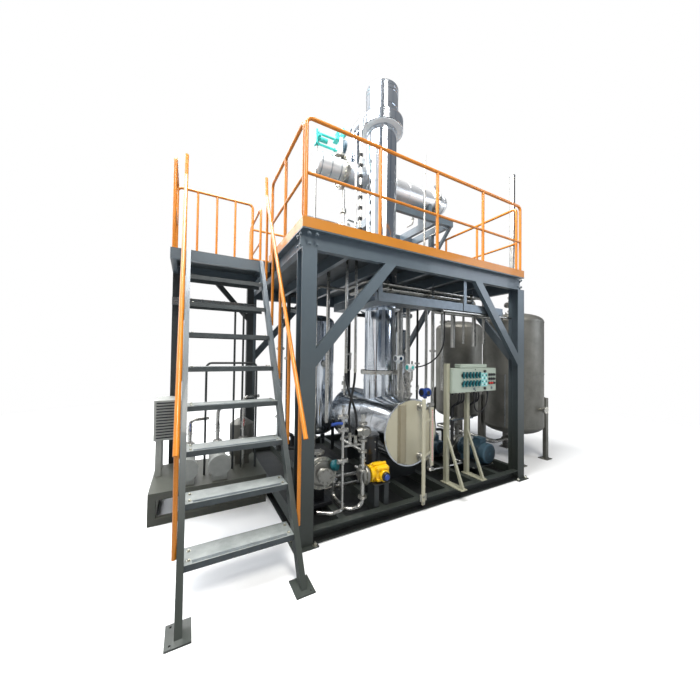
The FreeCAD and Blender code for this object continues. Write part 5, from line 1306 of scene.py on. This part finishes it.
@dataclass
class DosingSet:
    """The yellow drive with its dark round end, the pump head beside it, and the black filter drum."""

    size: float = 0.21

    def build(self) -> None:
        """Builds the drive and the filter."""
        low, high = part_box("dosing_drive")
        half = self.size / 2
        x, y, z = high.x - half, high.y - half, (low.z + high.z) / 2
        piece = Piece("yellow_drive", YELLOW)
        piece.lathe([(0.086, 0), (0.09, 0.004), (0.09, 0.022), (0.084, 0.026)], (low.x, y, z), ALONG, 36)
        piece.lathe([(0.078, 0.024), (0.07, 0.06), (0.074, 0.1)], (low.x, y, z), ALONG, 36)
        piece.box((x - 0.07, y - 0.085, z - 0.075), (x + half - 0.005, y + half - 0.01, z + 0.08), 0.018)
        for dz in (0.088, -0.088):
            piece.rod((x - 0.085, y - 0.01, z + dz), (x + 0.09, y - 0.01, z + dz), 0.017, 16, 0.003)
        for dz in (-0.06, 0.06):
            piece.box((x - half + 0.03, y - half + 0.005, z + dz - 0.012),
                      (x + 0.08, y + 0.06, z + dz + 0.012), 0.004)
        for finish, back, front, r, sides, edge in (
                (YELLOW, 0.08, 0.125, 0.062, 30, 0.004), (BLACK_ENAMEL, 0.124, 0.152, 0.05, 30, 0.005),
                (DEEP_BLUE, 0.15, 0.164, 0.032, 24, 0.004)):
            end = (x + 0.01, y - front, z - 0.015)
            piece.use(finish).rod((x + 0.01, y - back, z - 0.015), end, r, sides, edge)
        piece.use(ZINC).bolt_circle((low.x + 0.026, y, z), ALONG, 0.076, 6, 0.012)
        for dx, dz in ((-0.055, -0.06), (0.075, -0.06), (-0.055, 0.065), (0.075, 0.065)):
            piece.bolt((x + dx, y - 0.086, z + dz), FRONT, 0.012)
        piece.use(CAST_STEEL)
        head = Vector((low.x - 0.002, y, z))
        piece.lathe([(0.05, -0.11), (0.085, -0.1), (0.1, -0.08), (0.1, -0.03), (0.07, -0.002)],
                    head, ALONG, 36)
        piece.lathe(rim(0.114, -0.068, -0.04, 0.002, 0.004), head, ALONG, 36)
        piece.use(ZINC).bolt_circle(head - Vector((0.068, 0, 0)), (-1, 0, 0), 0.1, 12, 0.013)
        piece.make("drive_yellow", "dosing_drive")
        self.filter_drum()

    def filter_drum(self) -> None:
        """The black filter: ribbed drum, clamped lid with its nuts, and a pressure plug."""
        low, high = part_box("filter_housing")
        mid = (low + high) / 2
        foot = Vector((mid.x, mid.y, 0))
        piece = Piece("filter_drum", BLACK_ENAMEL)
        piece.lathe([(0.06, 0.42), (0.1, 0.43), (0.111, 0.46), (0.111, 0.6), (0.108, 0.602), (0.108, 0.61),
                     (0.111, 0.612), (0.111, high.z - 0.04)], foot, sides=40)
        piece.lathe([(0.126, high.z - 0.04), (0.128, high.z - 0.036), (0.128, high.z - 0.016),
                     (0.12, high.z - 0.008), (0.05, high.z)], foot, sides=40)
        piece.box((mid.x - 0.07, mid.y - 0.07, low.z), (mid.x + 0.07, mid.y + 0.07, 0.43), 0.004)
        piece.use(ZINC).bolt_circle(foot + above(high.z - 0.018), UP, 0.112, 10, 0.014)
        for dz in (0.0, 0.09):
            plug = Vector((mid.x + 0.02, mid.y - 0.106, 0.66 + dz))
            piece.rod(plug, plug - Vector((0, 0.012, 0)), 0.007, 10)
        piece.make("filter_black", "filter_housing")


# --- trays and valves ----------------------------------------------------------------------------


@dataclass
class CableTray:
    """The galvanised tray with its slots, and the cables that lie in it."""

    cables: int = 7
    slot_every: float = 0.1

    def build(self) -> None:
        """Dresses the tray, adds its rows of slots and its cables."""
        dress("cable_tray", GALVANISED)
        low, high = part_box("cable_tray")
        rnd = random.Random(7)
        slots = Piece("tray_slots", SHADOW_GAP)
        floor = low.z
        front = low.y + 0.0085
        x = low.x + 0.3
        while x < high.x - 0.08:
            for dy in (0.06, 0.12, 0.18):
                slots.box((x, front + dy, floor - 0.0006), (x + 0.05, front + dy + 0.012, floor + 0.001))
            x += self.slot_every
        slots.make("galvanised")
        wires = Piece("tray_cables", RUBBER)
        for k in range(self.cables):
            y = front + 0.022 + k * 0.026
            r = rnd.uniform(0.007, 0.011)
            points = [(low.x + 0.3 + 0.02 * k, y, floor + 0.006 + r)]
            for i in range(1, 6):
                points.append((low.x + 0.3 + i * (high.x - low.x - 0.36) / 5, y + rnd.uniform(-0.009, 0.009),
                               floor + 0.006 + r + rnd.uniform(0, 0.01)))
            wires.pipe(points, r, 0.2, 8)
        wires.make("hose_rubber")


@dataclass
class PipeValves:
    """Handles, bonnets and bolted faces on the small pipes of the skid and the deck."""

    def build(self) -> None:
        """Adds the fittings along the front risers, the kettle's takeoffs, and the deck pipes."""
        self.front()
        self.takeoffs()
        self.under_deck()
        self.deck()

    def front(self) -> None:
        """The cross-topped valves on the thin riser, and the globe valve and unions on the main riser."""
        piece = Piece("front_valves", STAINLESS)
        thin, main, y = 0.445, 0.69, 0.055
        for z in (0.69, 1.01, 1.15):
            for way in (-1, 1):
                piece.rod((thin + way * 0.02, y, z), (thin + way * 0.045, y, z), 0.013, 12, 0.001)
                piece.handwheel((thin + way * 0.05, y, z), ALONG, 0.024)
            piece.lathe(rim(0.022, -0.035, 0.035, 0.005, 0.01), (thin, y, z), sides=6)
        piece.rod((thin, y, 1.22), (thin, y, 1.25), 0.009, 10)
        piece.lathe([(0.008, 0), (0.02, 0.008), (0.02, 0.014), (0.008, 0.02)], (thin, y, 1.25), sides=18)
        piece.use(DEEP_BLUE)
        piece.pipe([(thin - 0.02, y - 0.02, 1.085), (thin - 0.07, y - 0.035, 1.095),
                    (thin - 0.15, y - 0.04, 1.09)], 0.016, 0.02, 10)
        piece.use(CAST_STEEL)
        piece.lathe([(0.036, -0.085), (0.05, -0.06), (0.062, -0.02), (0.062, 0.02), (0.05, 0.06),
                     (0.036, 0.085)], (main, y, 0.97), ALONG, 28)
        for way in (-1, 1):
            piece.rod((main, y, 0.97), (main, y + way * 0.066, 0.97), 0.04, 20, 0.004)
            piece.use(ZINC).bolt_circle((main, y + way * 0.064, 0.97), (0, way, 0), 0.032, 4, 0.01)
            piece.use(CAST_STEEL)
        for z in (0.27, 0.56, 0.76, 0.88, 1.06):
            piece.flange((main, y, z), UP, 0.048, 0.01, 4)
        piece.use(STAINLESS).ball_valve((main, y, 0.65), UP, ALONG, 0.034, BLACK_PLASTIC)
        piece.ball_valve((main, y, 1.12), UP, (0.5, -0.6, 0), 0.024, BLACK_PLASTIC)
        piece.pipe([(0.18, 0.1, 0.2), (0.3, 0.02, 0.2), (0.42, 0.02, 0.2), (0.5, 0.12, 0.2)], 0.02, 0.08)
        piece.make("stainless")

    def takeoffs(self) -> None:
        """Valves and flanges on the four nozzles of the drum."""
        piece = Piece("drum_valves", STAINLESS)
        for k, (x, y, rise) in enumerate(((1.7, 0.62, 0.13), (1.85, 0.7, 0.1), (1.8, 1.5, 0.2),
                                          (1.3, 1.65, 0.2))):
            top = drum_top(x) + rise
            piece.flange((x, y, top), UP, 0.05, 0.012, 4)
            piece.ball_valve((x, y, top + 0.055), UP, FRONT if k % 2 else ALONG, 0.032,
                             (BLACK_PLASTIC, DEEP_BLUE)[k % 2])
            piece.pipe([(x, y, top + 0.09), (x, y, top + 0.2), (x + 0.16, y + 0.1, top + 0.2),
                        (x + 0.16, y + 0.1, top + 0.5)], 0.014, 0.05, 12)
        piece.make("stainless")

    def under_deck(self) -> None:
        """Pipes that run below the joists behind the tray, with clamps and unions."""
        piece = Piece("under_deck_pipes", STAINLESS)
        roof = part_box("deck_edge_beams")[0].z
        for k, (y, z, r) in enumerate(((0.34, -0.1, 0.022), (0.42, -0.14, 0.03), (0.52, -0.1, 0.018),
                                       (0.62, -0.16, 0.036))):
            x0, x1 = 0.9 + 0.1 * k, 3.05 - 0.12 * k
            piece.pipe([(x0, y + 0.5, roof + z), (x0, y, roof + z), (x1, y, roof + z),
                        (x1, y, roof + z - 0.7)], r, 0.09)
            for x in (x0 + 0.3, (x0 + x1) / 2, x1 - 0.3):
                piece.flange((x, y, roof + z), ALONG, r + 0.025, 0.01, 4)
        for x in (1.0, 1.95, 2.75):
            piece.use(GALVANISED).box((x - 0.02, 0.3, roof - 0.2), (x + 0.02, 0.7, roof - 0.18), 0.002)
            for y in (0.31, 0.69):
                piece.rod((x, y, roof - 0.2), (x, y, roof), 0.006, 8)
        piece.make("stainless")

    def deck(self) -> None:
        """Small valves and bends on the deck at the foot of the stand and by the product cooler."""
        piece = Piece("deck_valves", STAINLESS)
        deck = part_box("deck_plates")[1].z
        for k, (x, y, z) in enumerate(((1.05, 1.2, 0.85), (1.15, 1.3, 0.62), (1.7, 1.25, 0.3),
                                       (2.75, 1.2, 0.75), (2.6, 1.35, 0.5))):
            piece.pipe([(x, y, deck), (x, y, deck + z), (x + 0.22, y + 0.05, deck + z)], 0.014, 0.05, 12)
            piece.ball_valve((x, y, deck + z * 0.62), UP, FRONT if k % 2 else (-1, 0, 0), 0.028,
                             BLACK_PLASTIC)
            piece.flange((x, y, deck + z * 0.25), UP, 0.034, 0.008, 4)
            piece.use(DEEP_BLUE if k == 3 else GALVANISED)
            piece.handwheel((x, y - 0.05, deck + z * 0.8), BACK, 0.032)
            piece.use(STAINLESS).rod((x, y - 0.055, deck + z * 0.8), (x, y, deck + z * 0.8), 0.006, 8)
        piece.make("stainless")


@dataclass
class UtilityPipes:
    """The skid's back and right lines: lagged drops with valves, and conduits down from the panel."""

    drops: tuple[tuple[float, float, float, float], ...] = (
        (2.02, 1.9, 0.036, 2.7), (2.2, 1.62, 0.024, 2.75), (2.5, 1.9, 0.045, 2.6), (2.78, 1.55, 0.02, 2.75),
        (3.12, 1.5, 0.032, 2.7), (2.3, 2.4, 0.04, 2.5), (0.32, 1.62, 0.028, 2.7), (0.55, 1.1, 0.018, 2.75),
        (0.42, 2.4, 0.045, 2.6), (1.75, 2.35, 0.034, 2.6))
    conduits: tuple[float, ...] = (0.24, 0.29, 0.34, 0.6, 0.65)

    def build(self) -> None:
        """Builds the drops, then the conduits."""
        piece = Piece("utility_drops", BLACK_ENAMEL)
        for k, (x, y, r, top) in enumerate(self.drops):
            finish = (LAGGING, STAINLESS, DUCT_STEEL)[k % 3]
            run = 0.3 + 0.06 * (k % 4)
            piece.use(finish).pipe([(x, y, 0.15), (x, y, top), (x + run, y, top)], r, 0.08)
            piece.use(STAINLESS)
            for z in (0.62 + 0.05 * (k % 3), 1.9 - 0.08 * (k % 4)):
                piece.flange((x, y, z), UP, r + 0.028, 0.011, 4)
            piece.ball_valve((x, y, 1.18 + 0.09 * (k % 3)), UP, FRONT, max(r, 0.03), BLACK_PLASTIC)
            piece.use(LAGGING).pipe([(x, y, 0.4), (x + 0.22, y - 0.06, 0.4), (x + 0.22, y - 0.06, 0.15)],
                                    r * 0.8, 0.06)
        piece.make("stainless")
        self.panel_lines()
        self.low_lines()

    def panel_lines(self) -> None:
        """Straight conduits from the back of the panel down to the skid, held by saddle clips."""
        low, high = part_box("control_panel")
        piece = Piece("panel_conduits", RUBBER)
        for k, at in enumerate(self.conduits):
            x, y = low.x + at, high.y - 0.03
            back = high.y + 0.1 + 0.03 * (k % 3)
            piece.use(RUBBER).pipe([(x, y, low.z + 0.034), (x, y, low.z - 0.1), (x, back, low.z - 0.2),
                                    (x, back, 0.3), (x + 0.1, back + 0.2, 0.16)], 0.012, 0.07, 10)
            for z in (0.5, 0.9):
                piece.use(ZINC).box((x - 0.018, back - 0.014, z), (x + 0.018, back + 0.014, z + 0.02), 0.003)
        piece.use(GALVANISED).box((low.x + 0.2, high.y + 0.1, 0.88), (low.x + 0.7, high.y + 0.13, 0.9), 0.002)
        piece.make("hose_rubber")

    def low_lines(self) -> None:
        """Pipes that run along the skid floor between the pumps and the drum."""
        piece = Piece("skid_floor_lines", STAINLESS)
        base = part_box("skid_edge_beams")[1].z
        for k, (y, r, x0, x1) in enumerate(((0.62, 0.022, 0.3, 1.1), (0.78, 0.03, 0.25, 1.15),
                                            (1.0, 0.02, 2.0, 2.6), (0.42, 0.018, 1.98, 2.7),
                                            (1.3, 0.03, 2.0, 3.1))):
            z = base + r + 0.004 + 0.03 * (k % 2)
            piece.pipe([(x0, y, z + 0.3), (x0, y, z), (x1, y, z), (x1, y + 0.2, z)], r, 0.06)
            piece.flange((x0, y, z + 0.2), UP, r + 0.026, 0.01, 4)
            piece.flange(((x0 + x1) / 2, y, z), ALONG, r + 0.026, 0.01, 4)
        piece.make("stainless")


@dataclass
class InletValve:
    """The teal actuated valve over the condenser's left end: yoke, tie rods, turned head and diaphragm."""

    def build(self) -> None:
        """Builds the valve in place of its plain CAD stand-in."""
        low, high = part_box("inlet_valve")
        y = (low.y + high.y) / 2
        left, z = low.x, 5.12
        piece = Piece("teal_actuator", TEAL)
        piece.box((left, y - 0.05, z - 0.11), (left + 0.03, y + 0.05, z + 0.11), 0.006)
        piece.lathe([(0.06, 0), (0.06, 0.03), (0.035, 0.045), (0.035, 0.18)], (left + 0.02, y, z), ALONG, 28)
        for dz in (-0.085, 0.085):
            piece.rod((left + 0.025, y, z + dz), (left + 0.38, y, z + dz), 0.017, 16, 0.002)
            for x in (left + 0.055, left + 0.33):
                piece.lathe([(0.026, -0.012), (0.026, 0.012)], (x, y, z + dz), ALONG, 6)
        piece.rod((left + 0.05, y - 0.03, z), (left + 0.05, y - 0.1, z), 0.022, 14, 0.003)
        piece.box((left + 0.32, y - 0.06, z + 0.05), (left + 0.4, y + 0.06, z + 0.125), 0.012)
        way = Vector((0.316, 0, 0.949))
        foot = Vector((left + 0.42, y, z + 0.12))
        piece.lathe([(0.05, 0), (0.06, 0.01), (0.06, 0.1), (0.052, 0.11), (0.052, 0.16), (0.04, 0.178)],
                    foot, way, 32)
        piece.block(foot + way * 0.06 + Vector((-0.08, 0, -0.01)), foot + way * 0.1 + Vector((0.06, 0, 0)),
                    FRONT, 0.05, 0.09)
        piece.use(WHITE_COAT).box((left + 0.39, y - 0.07, z - 0.115),
                                  (left + 0.45, y + 0.07, z + 0.115), 0.01)
        piece.use(STAINLESS)
        piece.rod((left + 0.42, y, z - 0.115), (left + 0.42, y, 4.9), 0.042, 24)
        piece.flange((left + 0.42, y, z - 0.15), UP, 0.085, 0.014, 8)
        piece.use(MOTOR_BLUE)
        piece.lathe([(0.09, 0.0), (0.108, 0.008), (0.108, 0.02), (0.1, 0.026), (0.1, 0.032), (0.108, 0.038),
                     (0.108, 0.052), (0.06, 0.06)], (left + 0.45, y, z), ALONG, 40)
        piece.use(ZINC)
        for out in ways_round(10, "x"):
            piece.bolt(Vector((left + 0.502, y, z)) + out * 0.095, ALONG, 0.012)
        piece.use(STAINLESS).pipe([(left + 0.03, y, z - 0.11), (left + 0.03, y, z - 0.2),
                                   (left + 0.02, y, z - 0.3), (left + 0.02, y, 3.2)], 0.012, 0.05, 10)
        piece.make("valve_teal", "inlet_valve")


@dataclass
class SideModule:
    """The small skid under the landing: louvred air cooler, pumps, vessel and pipes."""

    louvres: int = 13

    def build(self) -> None:
        """Dresses the module's parts and adds louvres, flanges and handles."""
        dress("module_equipment", STAINLESS)
        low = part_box("module_equipment")[0]
        tint("module_equipment", ZINC_PALE, (low.x, 0.9, 0.3), (-0.5, 1.5, 0.66))
        tint("module_equipment", ZINC_PALE, (low.x - 0.01, 1.43, 0.3), (-1.0, 1.87, 1.3))
        tint("module_equipment", DUCT_STEEL, (-1.2, 1.8, 2.4), (0.0, 2.0, 2.6))
        tint("module_equipment", LEG_PAINT, (-0.85, 1.2, 0.7), (-0.15, 1.4, 2.4))
        tint("module_equipment", PICKLED, (-0.49, 1.4, 0.3), (-0.17, 1.72, 1.1))
        ribs = Piece("duct_ribs", DUCT_STEEL)
        duct_z = 2.44
        for k in range(8):
            x = -1.12 + k * 0.14
            ribs.box((x, 1.847, duct_z - 0.002), (x + 0.02, 1.851, duct_z + 0.102), 0.001)
            ribs.box((x, 1.85, duct_z + 0.1), (x + 0.02, 1.908, duct_z + 0.104), 0.001)
        ribs.make("stainless")
        piece = Piece("module_louvres", SHADOW_GAP)
        for k in range(self.louvres):
            z = 0.79 + k * 0.034
            piece.block((low.x + 0.012, 1.47, z), (low.x + 0.012, 1.83, z), (-1, 0, 0.9), 0.004, 0.028)
            piece.block((-1.3, 1.438, z), (-1.05, 1.438, z), (0, -1, 0.9), 0.004, 0.028)
        for k in range(3):
            x = -0.95 + k * 0.3
            piece.use(STAINLESS).flange((x, 1.3, 0.72), UP, 0.055, 0.012, 4)
            piece.pipe([(x, 1.3, 0.34), (x, 1.3, 1.0 + 0.12 * k),
                        (x + 0.2, 1.35, 1.0 + 0.12 * k)], 0.02, 0.06)
            piece.ball_valve((x, 1.3, 0.88), UP, FRONT, 0.034, (DEEP_BLUE, BLACK_PLASTIC, RED_PLASTIC)[k])
        piece.make("stainless")


# --- hoses and cables ----------------------------------------------------------------------------


@dataclass(frozen=True)
class Lead:
    """A hose or cable hung between two fittings: its node, route, radius and drawn length."""

    node: str
    route: tuple[tuple[float, float, float], ...]
    radius: float
    length: float
    stiffness: str
    ferrule: float

    def build(self) -> None:
        curve = bpy.data.curves.new(f"{self.node}_line", "CURVE")
        curve.dimensions = "3D"
        curve.bevel_depth = self.radius
        curve.bevel_resolution = 5
        curve.resolution_u = 14
        curve.use_fill_caps = True
        spline = curve.splines.new("NURBS")
        spline.points.add(len(self.route) - 1)
        for point, place in zip(spline.points, self.route):
            point.co = (*place, 1.0)
        spline.order_u = 3
        spline.use_endpoint_u = True
        curve.materials.append(RUBBER.material())
        made = bpy.data.objects.new(f"{self.node}_run", curve)
        bpy.context.scene.collection.objects.link(made)
        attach(made, BODY)
        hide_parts(self.node)
        ends = Piece(f"{self.node}_sockets", ZINC if self.ferrule > 0.04 else BLACK_PLASTIC)
        for start, then in ((self.route[0], self.route[1]), (self.route[-1], self.route[-2])):
            way = Vector(then) - Vector(start)
            ends.lathe([(self.radius + 0.004, 0), (self.radius + 0.005, self.ferrule * 0.3),
                        (self.radius + 0.0015, self.ferrule)], start, way, 18)
        sockets = ends.make("hose_rubber")
        log.info("%s: %.3f m", self.node, self.length)


LEADS = (
    Lead("drain_hose_left", ((0.6, 0.3, 1.64), (0.6, 0.3, 1.54), (0.625, 0.285, 1.4),
                             (0.67, 0.262, 1.27), (0.704, 0.238, 1.14), (0.708, 0.22, 1.015),
                             (0.69, 0.215, 0.91), (0.69, 0.215, 0.84)),
         0.014, 0.82, "stiff", 0.05),
    Lead("drain_hose_right", ((0.74, 0.33, 1.64), (0.74, 0.33, 1.54), (0.722, 0.336, 1.4),
                              (0.692, 0.342, 1.27), (0.672, 0.346, 1.14), (0.674, 0.346, 1.015),
                              (0.69, 0.345, 0.91), (0.69, 0.345, 0.84)),
         0.014, 0.807, "stiff", 0.05),
    Lead("tray_cable", ((1.96, 0.11, 2.4), (1.96, 0.11, 2.29), (1.99, 0.13, 2.13), (2.025, 0.175, 1.965),
                        (2.02, 0.255, 1.82), (1.975, 0.345, 1.72), (1.905, 0.425, 1.665),
                        (1.84, 0.468, 1.645), (1.7755, 0.48, 1.64)), 0.009, 1.016, "medium", 0.03),
    Lead("panel_cable", ((2.56, 0.12, 1.276), (2.56, 0.12, 1.19), (2.575, 0.125, 1.08), (2.64, 0.13, 1.01),
                         (2.73, 0.13, 1.005), (2.81, 0.13, 1.065), (2.85, 0.12, 1.18), (2.85, 0.12, 1.276)),
         0.009, 0.687, "medium", 0.03),
)


# --- studio --------------------------------------------------------------------------------------


@dataclass
class Studio:
    """The floor, the soft lights and the camera."""

    eye: tuple[float, float, float] = (-0.9874, -2.6804, 1.7884)
    pitch: float = 1.139
    yaw: float = 28.803
    roll: float = 0.716
    lens: float = 15.12

    def build(self) -> None:
        """Sets out the floor, world, lights and camera."""
        self.floor()
        self.world()
        self.lights()
        self.camera()

    def floor(self) -> None:
        """A wide pale matt floor under the feet."""
        low = min(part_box(node)[0].z for node in ("frame_columns", "storage_tank_legs", "stair_stringers"))
        piece = bpy.data.meshes.new("studio_floor")
        reach = 60.0
        piece.from_pydata([(-reach, -reach, low), (reach, -reach, low), (reach, reach, low),
                           (-reach, reach, low)], [], [(0, 1, 2, 3)])
        tone = bpy.data.materials.new("studio_floor_matt")
        tone.use_nodes = True
        tone.node_tree.nodes.clear()
        place = add_node(tone.node_tree, "ShaderNodeTexCoord", {})
        grain = add_node(tone.node_tree, "ShaderNodeTexNoise", {"Vector": (place, "Object"), "Scale": 3.0})
        shade = add_node(tone.node_tree, "ShaderNodeMix", {
            "Factor": (grain, "Fac"), 6: linear("F4F5F6"), 7: linear("FAFBFB")}, data_type="RGBA")
        rays = add_node(tone.node_tree, "ShaderNodeLightPath", {})
        seen = add_node(tone.node_tree, "ShaderNodeMix", {
            "Factor": (rays, "Is Camera Ray"), 6: linear("8E9194"), 7: (shade, 2)}, data_type="RGBA")
        matt = add_node(tone.node_tree, "ShaderNodeBsdfPrincipled",
                        {"Base Color": (seen, 2), "Roughness": 0.85})
        away = add_node(tone.node_tree, "ShaderNodeVectorMath", {0: (place, "Object")}, operation="LENGTH")
        edge = add_node(tone.node_tree, "ShaderNodeMapRange",
                        {"Value": (away, "Value"), "From Min": 5.5, "From Max": 11.0})
        haze = add_node(tone.node_tree, "ShaderNodeEmission", {"Color": linear("FFFFFF")})
        both = add_node(tone.node_tree, "ShaderNodeMixShader",
                        {0: (edge, "Result"), 1: (matt, 0), 2: (haze, 0)})
        add_node(tone.node_tree, "ShaderNodeOutputMaterial", {"Surface": (both, 0)})
        piece.materials.append(tone)
        made = bpy.data.objects.new("studio_floor", piece)
        bpy.context.scene.collection.objects.link(made)

    def world(self) -> None:
        """White to the eye, and a banded sky for the metal to reflect."""
        world = bpy.data.worlds.new("studio_world")
        world.use_nodes = True
        tree = world.node_tree
        tree.nodes.clear()
        place = add_node(tree, "ShaderNodeTexCoord", {})
        flat = add_node(tree, "ShaderNodeMapping", {"Vector": (place, "Generated"),
                                                    "Scale": (1.0, 1.0, 0.25)})
        bays = add_node(tree, "ShaderNodeTexNoise", {"Vector": (flat, "Vector"), "Scale": 3.4, "Detail": 1.0})
        bay_tones = self.ramp(tree, (bays, "Fac"), ((0.39, "161E27"), (0.46, "55636F"), (0.51, "B4C0CA"),
                                                    (0.55, "FFFFFF")))
        side = add_node(tree, "ShaderNodeVectorMath", {0: (place, "Generated"), 1: (-0.876, 0.482, 0.0)},
                        operation="DOT_PRODUCT")
        side_tones = self.ramp(tree, (side, "Value"), ((0.0, "33445A"), (0.25, "7F92A6"), (0.45, "FFFFFF")))
        walls = add_node(tree, "ShaderNodeMix", {"Factor": 0.72, 6: (bay_tones, "Color"),
                                                 7: (side_tones, "Color")}, data_type="RGBA")
        parts = add_node(tree, "ShaderNodeSeparateXYZ", {0: (place, "Generated")})
        height = self.ramp(tree, (parts, "Z"), ((0.5, "000000"), (0.98, "FFFFFF")))
        sky = add_node(tree, "ShaderNodeMix", {
            "Factor": (height, "Color"), 6: (walls, 2), 7: linear("FFFFFF")}, data_type="RGBA")
        glow = add_node(tree, "ShaderNodeMath", {0: (side_tones, "Color"), 1: 0.6, 2: 0.55},
                        operation="MULTIPLY_ADD")
        lit = add_node(tree, "ShaderNodeBackground", {"Color": (sky, 2), "Strength": (glow, "Value")})
        plain = add_node(tree, "ShaderNodeBackground", {"Color": linear("FFFFFF"), "Strength": 1.0})
        rays = add_node(tree, "ShaderNodeLightPath", {})
        both = add_node(tree, "ShaderNodeMixShader", {0: (rays, "Is Camera Ray"), 1: (lit, 0), 2: (plain, 0)})
        add_node(tree, "ShaderNodeOutputWorld", {"Surface": (both, 0)})
        bpy.context.scene.world = world

    def ramp(self, tree: bpy.types.NodeTree, value: tuple,
             stops: Sequence[tuple[float, str]]) -> bpy.types.Node:
        """Adds a colour ramp whose stops are (position, colour)."""
        node = add_node(tree, "ShaderNodeValToRGB", {0: value})
        ends = node.color_ramp.elements
        for element, (at, tone) in zip(ends, (stops[0], stops[-1])):
            element.position, element.color = at, linear(tone)
        for at, tone in stops[1:-1]:
            ends.new(at).color = linear(tone)
        return node

    def lights(self) -> None:
        """A broad key from the front left, a top light, and a cool fill from the right."""
        low, high = cad_box[0], cad_box[1]
        mid = Vector([(a + b) / 2 for a, b in zip(low, high)])
        for name, offset, size, power, tone in (
                ("key", (-1.6, -6.2, 5.2), 2.6, 580, "FFFAF2"),
                ("side", (-7.6, 2.4, 4.0), 6.5, 420, "F4F8FF"),
                ("top", (-2.6, -0.4, 6.4), 4.5, 1450, "FFFFFF"),
                ("fill", (7.5, -7.0, 1.5), 3.0, 170, "EAF2FF"),
                ("back", (-3.0, 8.5, 6.0), 5.0, 500, "FFFFFF")):
            lamp = bpy.data.lights.new(f"studio_{name}", "AREA")
            lamp.size = size
            lamp.energy = power
            lamp.color = linear(tone)[:3]
            made = bpy.data.objects.new(f"studio_{name}", lamp)
            made.location = mid + Vector(offset)
            made.rotation_euler = (mid - made.location).to_track_quat("-Z", "Y").to_euler()
            bpy.context.scene.collection.objects.link(made)

    def camera(self) -> None:
        """A wide lens at head height near the foot of the stair."""
        yaw, pitch, roll = (math.radians(v) for v in (self.yaw, self.pitch, self.roll))
        ahead, right = Vector((math.sin(yaw), math.cos(yaw), 0)), Vector((math.cos(yaw), -math.sin(yaw), 0))
        up = Vector(UP)
        look = ahead * math.cos(pitch) + up * math.sin(pitch)
        rise = up * math.cos(pitch) - ahead * math.sin(pitch)
        side = right * math.cos(roll) + rise * math.sin(roll)
        crown = rise * math.cos(roll) - right * math.sin(roll)
        turn = Matrix((side, crown, -look)).transposed().to_4x4()
        lens = bpy.data.cameras.new("studio_camera")
        lens.lens = self.lens
        lens.clip_end = 200
        made = bpy.data.objects.new("studio_camera", lens)
        made.matrix_world = Matrix.Translation(self.eye) @ turn
        bpy.context.scene.collection.objects.link(made)
        bpy.context.scene.camera = made


def main() -> None:
    """Builds the plant's looks and the studio round it."""
    logging.basicConfig(level=logging.INFO, format="%(name)s %(message)s")
    bpy.context.scene.view_settings.view_transform = "Standard"
    Studio().build()
    for lead in LEADS:
        lead.build()
    for part in (Steelwork(), Kettle(), Tower(), Condenser(), StorageTanks(), StandingVessels(),
                 LevelGauge(), SwitchPanel(), Transmitters(), FeedPump(), Motors(), DosingSet(), CableTray(),
                 PipeValves(), UtilityPipes(), InletValve(), SideModule()):
        part.build()
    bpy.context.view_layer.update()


if __name__ == "__main__":
    main()
